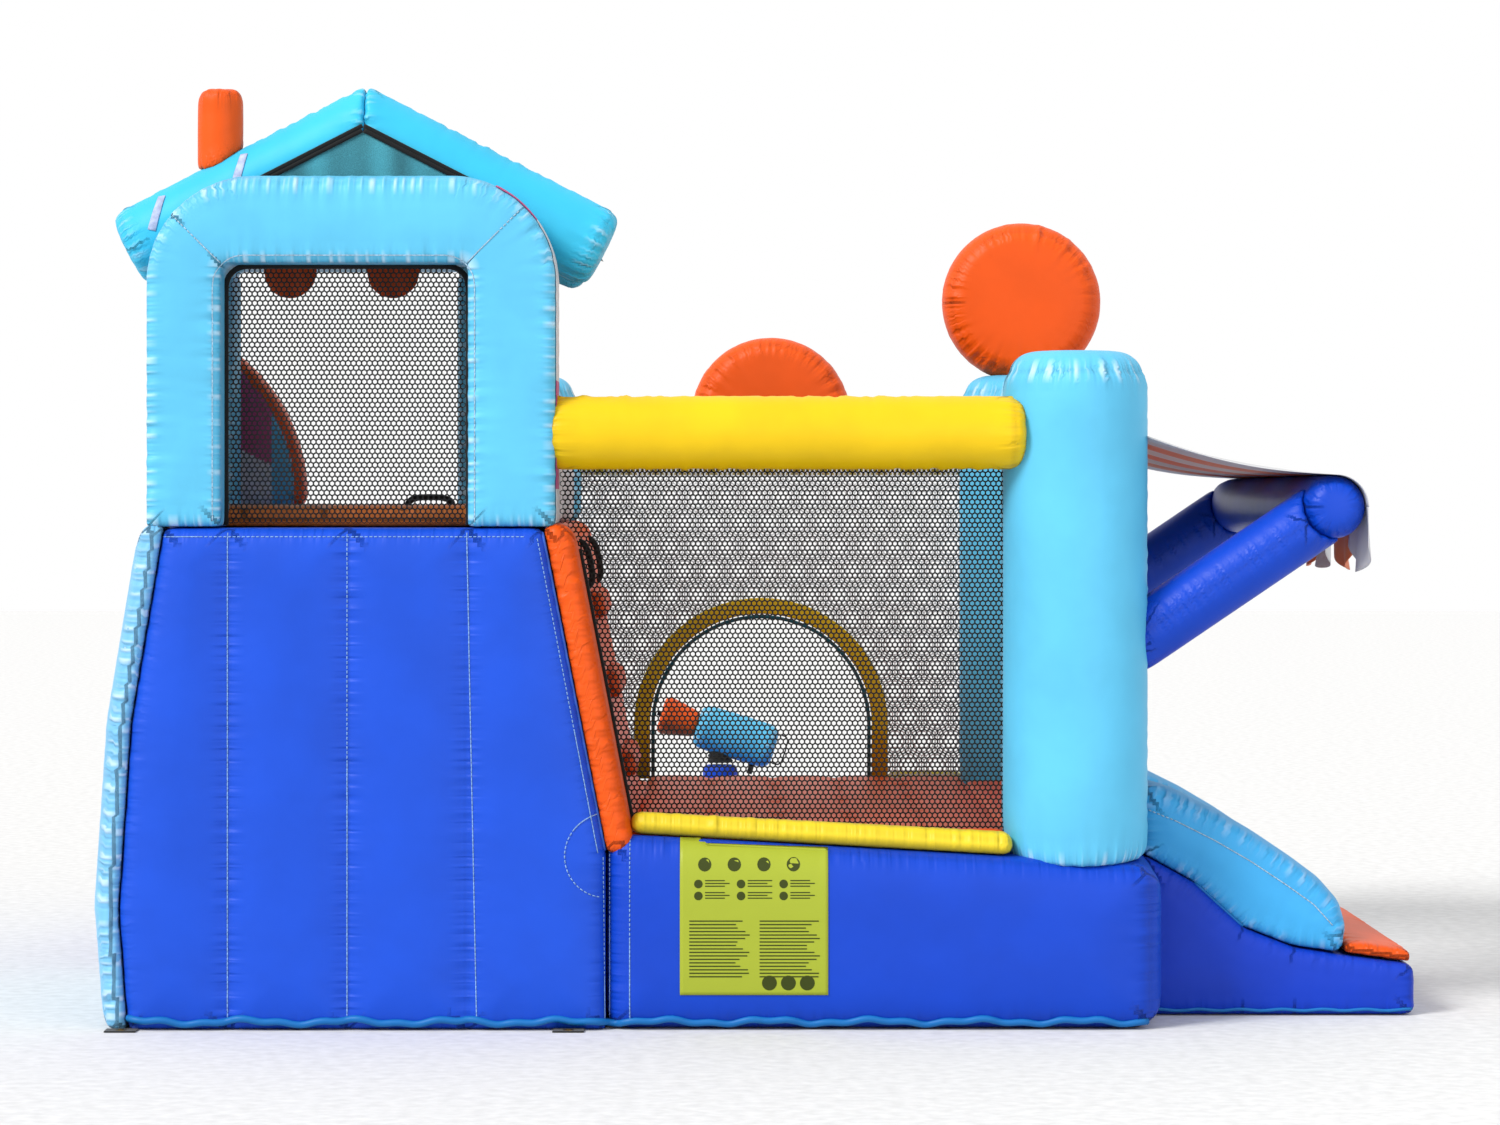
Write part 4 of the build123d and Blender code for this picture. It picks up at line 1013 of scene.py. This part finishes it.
net_left = [(wall_line(z) + 0.064, z) for z in (NET_BOTTOM, DECK)]
NET_SPLIT = 0.120
back_halves = {
    "left": net_left + [(-0.502, 1.287), (-0.502, NET_TOP), (NET_SPLIT, NET_TOP), (NET_SPLIT, NET_BOTTOM)],
    "right": [(NET_SPLIT, NET_BOTTOM), (NET_SPLIT, NET_TOP), (0.646, NET_TOP), (0.646, NET_BOTTOM)],
}
for name, half in back_halves.items():
    wide = max(x for x, _ in half) - min(x for x, _ in half)
    net_object("back_netting_" + name, "back_net", half, upright(0.150))
edge = [(wall_line(z) + 0.079, at(0.142), z) for z in np.linspace(0.50, 1.22, 60)]
fitted("net_edge_tape", None, [tape(edge, 0.006, 0.0022)], BLACK)
net_object("window_netting", "window_mesh", rounded_box(-1.352, -0.749, 1.287, 1.936, 0.045), upright(0.106))
net_object("front_netting", "front_net", rectangle(-0.537, 0.644, NET_BOTTOM, 1.464), upright(2.226),
           WHITE_NET, "white_netting",
           arch_line(0.372))
net_object("bed_left_netting", "side_nets", rectangle(at(1.404), at(2.094), NET_BOTTOM, 1.42),
           lengthways(-0.640))
net_object("exit_side_netting", "side_nets", rectangle(at(1.506), at(2.062), NET_BOTTOM, 1.42),
           lengthways(0.906))


def rail_place(u, v, side):
    """The tower's left netting, which follows its slanting rail."""
    share = (u - at(0.234)) / 0.952
    return np.stack([-1.440 - 0.138 * share + side * NET_THICK, u, v], -1)


net_object("tower_left_netting", "side_nets", rectangle(at(0.236), at(1.184), 1.478, 1.878), rail_place)

# Loose cloth

def cloth_sheet(name, node, columns, rows, shape, skin, slot, fold=None, pick=None):
    """A thin sheet: shape(s, t) gives its points, fold(s, t) the painted shade of its folds, pick(s, t) its
    material's number.
    """
    vertices, faces = grid(columns, rows, shape)
    flat_mesh = bpy.data.meshes.new(name)
    flat_mesh.from_pydata([tuple(v) for v in vertices], [], faces)
    for material in skin if isinstance(skin, list) else [skin]:
        flat_mesh.materials.append(material)
    if pick:
        for number, polygon in enumerate(flat_mesh.polygons):
            row, column = divmod(number, columns)
            polygon.material_index = pick((column + 0.5) / columns, (row + 0.5) / rows)
    if fold:
        values = [fold(i / columns, j / rows) for j in range(rows + 1) for i in range(columns + 1)]
        flat_mesh.attributes.new("fold", "FLOAT", "POINT").data.foreach_set("value", values)
    mesh = evaluated(flat_mesh, ("SOLIDIFY", {"thickness": 0.0014, "offset": 0.0}))
    return declare_sheet(add_object(name, mesh, []), node, slot)


CANOPY_SPAN, STRIPES = (0.095, 2.305), 7
STRIPE = coated_cloth("stripe_orange_cloth", (252, 138, 92), 0.5, gather=0)
WHITE_STRIPE = coated_cloth("stripe_white_cloth", (240, 241, 245), 0.5, gather=0)


def canopy_point(s, t):
    """s runs from the root over the cross tube and down, t from back to front."""
    depth = CANOPY_SPAN[0] + t * (CANOPY_SPAN[1] - CANOPY_SPAN[0])
    ripple = 0.004 * math.sin(TAU * t * 14) * (1 - s)
    if s < 0.78:
        r = s / 0.78
        x = CANOPY_ROOT[0] + r * (AWNING_X - CANOPY_ROOT[0])
        z = CANOPY_ROOT[1] + r * (AWNING_Z + CANOPY_RADIUS - CANOPY_ROOT[1])
        sag = 0.022 * math.sin(math.pi * r) * (0.8 + 0.2 * math.cos(TAU * STRIPES * t))
        return x, at(depth), z - sag + ripple
    angle = (s - 0.78) / 0.22 * math.pi / 2
    return (AWNING_X + CANOPY_RADIUS * math.sin(angle), at(depth),
            AWNING_Z + CANOPY_RADIUS * math.cos(angle))


cloth_sheet("awning_canopy_cloth", "awning_canopy", 50, 140, canopy_point, [WHITE_STRIPE, STRIPE],
            "striped_fabric",
            pick=lambda s, t: int(t * STRIPES) % 2)

for number in range(STRIPES):
    pitch = (CANOPY_SPAN[1] - CANOPY_SPAN[0]) / STRIPES
    first = CANOPY_SPAN[0] + number * pitch + 0.005

    def tongue_point(s, t, first=first, number=number, width=pitch - 0.010):
        """A tongue with soft folds that deepen towards its rounded tip."""
        drop = 0.105 + 0.066 * math.sin(math.pi * s) ** 0.7
        fold = 0.013 * t * math.sin(TAU * (1.6 * s + 0.37 * number)) + 0.010 * t * t * math.sin(2.1 * number)
        depth = first + s * width + 0.006 * t * math.sin(9 * s + number)
        return 1.5685 + fold, at(depth), 1.330 - drop * t

    cloth_sheet(f"awning_tongue_{number}", "awning_valance", 26, 16, tongue_point,
                [WHITE_STRIPE, STRIPE][number % 2], "striped_fabric")

GABLE_FOOT, GABLE_PEAK, GABLE_HALF = 2.004, 2.300, 0.400


def fold_height(x):
    """Soft vertical folds in the roof netting, and the painted shade that follows them."""
    return 0.5 + 0.3 * math.sin(x * 43) + 0.2 * math.sin(x * 71 + 1.3)


for name, depth, side in (("gable_net_near", 0.2290, -1), ("gable_net_far", 1.1710, 1)):
    def gable_point(s, t, depth=depth, side=side):
        x = RIDGE[0] + (2 * s - 1) * GABLE_HALF
        top = GABLE_PEAK - abs(x - RIDGE[0]) * SLOPE
        return x, at(depth) - side * 0.010 * fold_height(x) * (1 - t), GABLE_FOOT + t * (top - GABLE_FOOT)

    cloth_sheet(name, "roof_nets", 70, 24, gable_point, TEAL_NET, "teal_netting",
                fold=lambda s, t: fold_height(RIDGE[0] + (2 * s - 1) * GABLE_HALF))

for name, side in (("roof_net_left", -1), ("roof_net_right", 1)):
    def slope_point(s, t, side=side):
        depth = 0.4495 + t * 0.501
        sag = 0.020 * math.sin(math.pi * t) * math.sin(math.pi * min(s * 1.1, 1))
        return (RIDGE[0] + side * (0.004 + 0.598 * s), at(depth),
                RIDGE[1] + 0.001 - 0.598 * s * SLOPE - sag + 0.004 * math.sin(60 * s + 2 * t))

    # Painted shade in the roof netting's folds, from the fold values.
    cloth_sheet(name, "roof_nets", 60, 30, slope_point, TEAL_NET, "teal_netting",
                fold=lambda s, t: 0.5 + 0.5 * math.sin(60 * s))

for number, x in enumerate((-1.307, -1.017, -0.727)):
    def scallop_point(s, t, x=x):
        reach = math.sqrt(max(1 - (2 * s - 1) ** 2, 0.0))
        y = at(1.181) + 0.006 * t * math.sin(14 * s)
        return x + (2 * s - 1) * 0.074, y, 2.009 - (0.020 + 0.075 * reach) * t

    cloth_sheet(f"scallop_{number}", "scallop_valance", 24, 10, scallop_point, ORANGE, "orange_fabric")

for name, xs, depths in (("pool_floor_side", (-0.802, 0.458), (2.402, 3.100)),
                         ("pool_floor_front", (-1.300, 0.458), (3.102, 3.738))):
    def puddled(s, t, xs=xs, depths=depths):
        x, y = xs[0] + s * (xs[1] - xs[0]), at(depths[0] + t * (depths[1] - depths[0]))
        across, along = math.sin(19 * x + 7 * math.sin(4 * y)), math.sin(13 * y + 5 * math.sin(6 * x))
        return x, y, 0.0012 + 0.0022 * (1 + across * along)

    cloth_sheet(name, "pool_floor", 110, 60, puddled, SKY, "sky_blue_fabric")

# Tapes, bands and bindings

corners = rounded_box(-1.362, -0.739, 1.277, 1.946, 0.055)[2:]
window_path = dense([(x, at(0.106), z) for x, z in [(-0.739, 1.282)] + corners + [(-1.362, 1.282)]], 0.012)
fitted("window_binding", "net_bindings", [tape(window_path, 0.0075, 0.003)], BLACK)

tapes = []
for depth, out in ((GABLES[0], -1), (GABLES[1], 1)):
    for side in (-1, 1):
        for lift in (-0.007, 0.005):
            path = []
            for k in range(60):
                run = 0.002 + 0.404 * k / 59
                path.append((RIDGE[0] + side * run, at(depth) + out * 0.1155, RIDGE[1] + lift - run * SLOPE))
            tapes.append(tape(path, 0.0055, 0.0018, facing=out))
fitted("gable_binding", "net_bindings", tapes, BLACK)

arch_path = [(x, at(2.220), z) for x, z in arch_line(0.364)]
fitted("arch_band_cloth", "arch_band", [tape(arch_path, 0.0245, 0.0042, 14)], YELLOW)
edge_path = [(x, at(2.2235), z) for x, z in arch_line(0.3305)]
fitted("arch_binding_tape", "arch_binding", [tape(edge_path, 0.0055, 0.0078, 12)], TEAL_TAPE)

straps = []
for x in (RIDGE[0] - 0.331, RIDGE[0] - 0.545):
    middle = RIDGE[1] - (RIDGE[0] - x) * SLOPE
    path = [(x - 0.004 + 0.022 * k / 20, BACK + 0.1, middle + 0.012 + 0.090 * k / 20) for k in range(21)]
    spots, normals = laid([roof], path, 0.0018)
    straps.append(sweep(spots, (0.011, 0.0012), 8, normals))
fitted("roof_strap_tapes", "roof_straps", straps, PAINTED_SHADE_WHITE_TAPE)


def handle_path():
    """A strap bridge seen from its side: (along, up)."""
    shape = [(-0.060, 0.006), (-0.058, 0.013), (-0.048, 0.021), (-0.030, 0.0255), (0.0, 0.0265),
             (0.030, 0.0255), (0.048, 0.021), (0.058, 0.013), (0.060, 0.006)]
    return dense([(a, 0, b) for a, b in shape], 0.005)


lean_turn = Matrix.Rotation(math.pi / 2 - math.atan2(0.160, 0.825), 4, "Y")
places = [Matrix.Translation((-0.879, at(0.700), 1.327))]
for depth in (0.330, 1.070):
    x = wall_line(1.18) + 0.062 + 0.024
    spot = Matrix.Translation((x, at(depth), 1.18)) @ lean_turn
    places.append(spot @ Matrix.Translation((0, 0, -0.019)))
handles = []
for place in places:
    path = [place @ Vector(p) for p in handle_path()]
    up = [place.to_3x3() @ Vector((0.3 * p[0] / 0.06, 0, 1)).normalized() for p in handle_path()]
    handles.append(sweep(path, (0.016, 0.0085), 14, up))
fitted("grab_handle_straps", "grab_handles", handles, BLACK)

# Printed gusset on the window frame's right side

def gusset_ray(s):
    """Start and direction of a ray towards the frame's right side and shoulder."""
    straight = 1.904 - 1.280
    length = s * (straight + 0.25 * math.radians(68))
    if length < straight:
        return Vector((-0.2, 0, 1.282 + length)), Vector((-1, 0, 0))
    angle = (length - straight) / 0.25
    out = Vector((math.cos(angle), 0, math.sin(angle)))
    return Vector((-0.763, 0, 1.904)) + out * 0.6, -out


frame_tree = surface_of(window)[0]


def gusset_point(s, t):
    start, direction = gusset_ray(s)
    start.y = at(0.028 + 0.170 * t)
    hit = frame_tree.ray_cast(start, direction, 1.0)[0]
    return tuple(hit - direction * 0.0022)


cloth_sheet("printed_gusset_cloth", "printed_gusset", 90, 24, gusset_point, [WHITE, PINK], "white_fabric",
            pick=lambda s, t: 0 if 0.40 < s < 0.86 or s < 0.1 else 1)

# Label, stitching and piping on the near walls

bed_tree = surface_of(bed)[0]


def on_bed(x, z, lift):
    """The point of the bed's near wall at a given x and z, held off it a little."""
    hit, normal = bed_tree.ray_cast(Vector((x, BACK - 0.3, z)), Vector((0, 1, 0)), 0.6)[:2]
    if hit is None:
        hit, normal = bed_tree.find_nearest(Vector((x, BACK, z)))[:2]
    return hit + normal * lift


label = cloth_sheet("label_cloth_patch", "label_patch", 40, 40,
                    lambda s, t: tuple(on_bed(-0.196 + 0.376 * s, 0.092 + (0.392 - 0.014 * s) * t, 0.0022)),
                    LABEL, "label_cloth")


def label_marks():
    """Plain bars and discs where a care label would have its lines: no lettering."""
    vertices, faces = [], []

    def patch(left, low, wide, tall, sides=4):
        start = len(vertices)
        if sides == 4:
            corners = [(left, low), (left + wide, low), (left + wide, low + tall), (left, low + tall)]
        else:
            corners = [(left + wide * (0.5 + 0.5 * math.cos(TAU * k / sides)),
                        low + wide * (0.5 + 0.5 * math.sin(TAU * k / sides))) for k in range(sides)]
        vertices.extend(on_bed(x, z, 0.0034) for x, z in corners)
        faces.append(tuple(range(start, start + len(corners))))

    for k in range(4):
        patch(-0.150 + 0.075 * k, 0.404, 0.034, 0.034, 16)
    for row in range(2):
        for k in range(3):
            patch(-0.160 + 0.108 * k, 0.362 - 0.030 * row, 0.022, 0.022, 14)
            for line in range(3):
                width = 0.050 + 0.012 * ((k + line) % 2)
                patch(-0.132 + 0.108 * k, 0.380 - 0.030 * row - 0.007 * line, width, 0.0028)
    for column in range(2):
        for line in range(17):
            width = 0.135 + 0.018 * math.sin(5.1 * line + column)
            patch(-0.172 + 0.178 * column, 0.278 - 0.0088 * line, width, 0.0032)
    for k in range(3):
        patch(0.012 + 0.048 * k, 0.104, 0.038, 0.038, 18)
    return vertices, faces


vertices, faces = label_marks()
marks = new_object("label_marks", vertices, faces, LABEL_INK, smooth=False)
marks.parent = label
marks.matrix_parent_inverse = label.matrix_world.inverted()


def straight(start, end, count=90):
    return [(start[0] + (end[0] - start[0]) * k / count, BACK, start[1] + (end[1] - start[1]) * k / count)
            for k in range(count + 1)]


rows = [straight((-1.344, 0.02), (-1.344, 1.262)), straight((-1.041, 0.02), (-1.041, 1.262)),
        straight((-0.711, 0.02), (-0.737, 1.262)), straight((-0.388, 0.02), (-0.392, 0.45)),
        straight((-0.374, 0.02), (-0.374, 0.46)), straight((-0.323, 0.02), (-0.323, 0.49)),
        [(-0.381 + 0.107 * math.cos(a), BACK, 0.444 + 0.107 * math.sin(a))
         for a in np.linspace(1.75, 4.6, 50)],
        straight((-0.405, 0.45), (-0.560, 1.255)), straight((-1.53, 1.252), (-0.58, 1.252))]
stitches("near_wall_stitching", [laid([tower, bed], row, 0.0012) for row in rows])
mitres = [straight((-1.366, 1.950), (-1.500, 2.084), 30), straight((-0.735, 1.950), (-0.601, 2.084), 30)]
corners = rounded_box(-1.384, -0.717, 1.29, 1.968, 0.075)[2:]
opening = dense([(x, BACK, z) for x, z in [(-0.717, 1.29)] + corners + [(-1.384, 1.29)]], 0.012)
stitches("window_stitching", [laid([window], row, 0.0012) for row in mitres + [opening]], PALE_THREAD)

foot_line = [(-1.630 + 2.62 * k / 200, BACK, 0.024 + 0.005 * math.sin(k * 0.31) + 0.003 * math.sin(k * 0.83))
             for k in range(201)]
piping("near_wall_piping", [laid([tower, bed], foot_line, 0.003)[0]], 0.0095, PIPING)
slant = straight((-0.3885, 0.455), (-0.5465, 1.262), 80)
piping("slanted_piping", [laid([tower, climb], slant, 0.001)[0]], 0.0040, PURPLE_PIPING)
exit_line = [(1.016, 0.424), (1.140, 0.355), (1.271, 0.236), (1.403, 0.184), (1.521, 0.165), (1.705, 0.141)]
exit_edges = []
for depth, way in ((0.3, 1), (1.5, -1)):
    top = dense([(x, at(depth), z - 0.006) for x, z in exit_line], 0.012)
    foot = [(1.02 + 0.69 * k / 80, at(depth), 0.016 + 0.002 * math.sin(k * 0.5)) for k in range(81)]
    exit_edges += [laid([exit_side], path, 0.001, way)[0] for path in (top, foot)]
piping("exit_slide_piping", exit_edges, 0.0046, PIPING)
bolster_seam = [(1.505, 0.235), (1.455, 0.290), (1.385, 0.340), (1.290, 0.403), (1.195, 0.458),
                (1.095, 0.508), (1.020, 0.538)]
path = dense([(x, at(0.32), z) for x, z in bolster_seam], 0.01)
stitches("bolster_stitching", [laid([exit_bolsters], path, 0.0012)], PALE_THREAD)

# Water cannon

CANNON_X, CANNON_Y, PITCH_Z = -0.099, at(3.86), 0.452
AIM = Matrix.Translation((CANNON_X, CANNON_Y, PITCH_Z)) @ Matrix.Rotation(math.radians(17), 4, "Y")
AXIS_RISE = 0.089           # from the pitch axis to the barrel's own


def gun_circle(x, radius, count):
    """Points round the barrel's axis, aimed."""
    angles = [TAU * k / count for k in range(count)]
    return [AIM @ Vector((x, radius * math.cos(a), AXIS_RISE + radius * math.sin(a))) for a in angles]


def lathe(profile, segments=72):
    """A closed shell turned about the barrel's axis, aimed, as a bmesh."""
    shell = bmesh.new()
    rings = []
    for x, radius, _ in dense([(x, r, 0) for x, r in profile], 0.006):
        count = 1 if radius < 1e-4 else segments
        rings.append([shell.verts.new(spot) for spot in gun_circle(x, radius if count > 1 else 0, count)])
    for one, two in zip(rings, rings[1:]):
        for k in range(segments):
            j = (k + 1) % segments
            corners = [one[k % len(one)], one[j % len(one)], two[j % len(two)], two[k % len(two)]]
            corners = list(dict.fromkeys(corners))
            if len(corners) > 2:
                shell.faces.new(corners)
    bmesh.ops.recalc_face_normals(shell, faces=shell.faces)
    return shell


def gun_ring(x, radius):
    axis = AIM.to_3x3() @ Vector((1, 0, 0))
    return ring(AIM @ Vector((x, 0, AXIS_RISE)), axis, radius, 48)


barrel_shape = [(-0.108, 0), (-0.109, 0.040), (-0.106, 0.060), (-0.096, 0.071), (-0.080, 0.0745),
                (0.028, 0.0755), (0.137, 0.0745), (0.153, 0.071), (0.163, 0.060), (0.167, 0.040), (0.168, 0)]
inflate("cannon_barrel", SKY, (0.0045, 0.002, 0.04, 0.0022), body=GUN, parts=[lathe(barrel_shape)],
        sharp=False, seams=[gun_ring(-0.100, 0.069), gun_ring(0.157, 0.069)])
nozzle_shape = [(-0.111, 0), (-0.111, 0.042), (-0.130, 0.047), (-0.180, 0.058), (-0.220, 0.065),
                (-0.232, 0.063), (-0.239, 0.054), (-0.240, 0.044), (-0.236, 0.034), (-0.226, 0.024),
                (-0.218, 0.013), (-0.216, 0)]
inflate("cannon_nozzle", ORANGE, (0.004, 0.001, 0.03, 0.0018), body=GUN, parts=[lathe(nozzle_shape)],
        sharp=False, seams=[gun_ring(-0.115, 0.043), gun_ring(-0.228, 0.064)])
inflate("cannon_pedestal", ROYAL, (0.005, 0.003, 0.03, 0.0014), still=("+z",), sharp=False,
        seams=[ring((-0.099, at(3.86), z), (0, 0, 1), 0.056) for z in (0.308, 0.424)])
loop = [(0.160, 0.044), (0.176, 0.051), (0.196, 0.050), (0.205, 0.038), (0.2065, 0.0), (0.205, -0.038),
        (0.196, -0.050), (0.176, -0.051), (0.160, -0.044)]
loop = [AIM @ Vector(spot) for spot in dense([(x, 0, AXIS_RISE + z) for x, z in loop], 0.005)]
middle = AIM @ Vector((0.172, 0, AXIS_RISE))
strap = sweep(loop, (0.0145, 0.0022), 12, [(spot - middle).normalized() for spot in loop])
fitted("cannon_grip_strap", "cannon_handle", [strap], BLACK, body=GUN)

NECK_ROWS, NECK_SIDES = 25, 48
vertices = []
for k in range(NECK_ROWS):
    share = k / (NECK_ROWS - 1)
    radius = 0.042 - 0.004 * share + 0.0026 * math.sin(share * 19)
    for j in range(NECK_SIDES):
        angle = TAU * j / NECK_SIDES
        vertices.append((CANNON_X + radius * math.cos(angle), CANNON_Y + radius * math.sin(angle),
                         0.4402 + 0.0553 * share))
neck_mesh = bpy.data.meshes.new("cannon_neck_sleeve")
neck_mesh.from_pydata(vertices, [], band_faces(NECK_ROWS, NECK_SIDES) + end_caps(NECK_ROWS, NECK_SIDES))
neck_mesh.materials.append(BLACK)
neck_mesh.polygons.foreach_set("use_smooth", [True] * len(neck_mesh.polygons))
neck = bpy.data.objects.new("cannon_neck_sleeve", neck_mesh)
bpy.context.scene.collection.objects.link(neck)
declared(neck, "cannon_neck", "black_webbing")
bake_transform(neck)

mouth_rings = ((-0.2405, 0.047), (-0.2375, 0.036), (-0.2290, 0.026), (-0.2205, 0.014))
mouth = [spot for x, radius in mouth_rings for spot in gun_circle(x, radius, 40)]
new_object("cannon_mouth_lining", mouth, band_faces(4, 40) + [tuple(range(120, 160))], WHITE, GUN)

# Air fittings and fastenings

def sleeve_point(s, t):
    """A soft open tube: s goes round, t along. It is drawn in under its strap."""
    x = 1.004 + 0.496 * t
    strap = math.exp(-((x - 1.445) / 0.02) ** 2)
    angle = TAU * s
    radius = 0.0785 - 0.0008 * strap
    radius += (0.0016 - 0.0012 * strap) * math.sin(9 * angle + 3 * t) * (0.4 + 0.6 * abs(math.sin(7 * t)))
    return x, at(1.95) + radius * math.cos(angle), max(0.09 + radius * math.sin(angle), 0.0095)


cloth_sheet("inflation_sleeve_cloth", "inflation_sleeve", 96, 60, sleeve_point, ROYAL, "royal_blue_fabric")

# CAD nodes that are shown as they are

KEPT = {
    WHITE: ("tower_baffles", "bed_baffles"),
    BLACK: ("sleeve_strap", "anchor_tabs"),
    BLACK_PLASTIC: ("cannon_water_tube", "zip_tape", "zip_slider"),
    BRASS: ("anchor_eyelets",),
}
for material, nodes in KEPT.items():
    for node in nodes:
        keep(node, material)

# Camera, floor and light

floor_paint = moulded("floor_paint", (255, 255, 255), 0.9)
vertices, faces = grid(2, 2, lambda s, t: (60 * s - 30, 60 * t - 22, 0.0))
floor = new_object("floor", vertices, faces, floor_paint)
floor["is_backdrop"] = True

camera_data = bpy.data.cameras.new("camera")
camera_data.lens, camera_data.sensor_width = 102.05, 36
camera_data.shift_x, camera_data.shift_y = 0.016, -0.043
camera = bpy.data.objects.new("camera", camera_data)
camera.location = (-0.079, -12.79, 1.351)
camera.rotation_euler = (math.pi / 2, 0, 0)
bpy.context.scene.collection.objects.link(camera)
bpy.context.scene.camera = camera


def light(name, kind, place, aim, energy, size, colour=(1, 1, 1)):
    data = bpy.data.lights.new(name, kind)
    data.energy, data.color = energy, colour
    if kind == "SUN":
        data.angle = size
    else:
        data.size = size
    lamp = bpy.data.objects.new(name, data)
    lamp.location = place
    lamp.rotation_euler = (Vector(aim) - Vector(place)).to_track_quat("-Z", "Y").to_euler()
    bpy.context.scene.collection.objects.link(lamp)


light("sun", "SUN", (-6.0, -5.0, 6.7), (0, 0, 0.5), 3.0, 0.35, (1.0, 0.985, 0.96))
light("front_fill", "AREA", (3.5, -9.0, 2.2), (0.3, -1.5, 0.8), 130, 5.0)
world = bpy.data.worlds.new("studio")
world.use_nodes = True
world.node_tree.nodes["Background"].inputs[0].default_value = (1, 1, 1, 1)
world.node_tree.nodes["Background"].inputs[1].default_value = 1.0
bpy.context.scene.world = world
bpy.context.scene.view_settings.view_transform = "Standard"

boxes = {"cad": cad_box, "visual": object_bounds()}
{name: [list(corner) for corner in box] for name, box in boxes.items()}
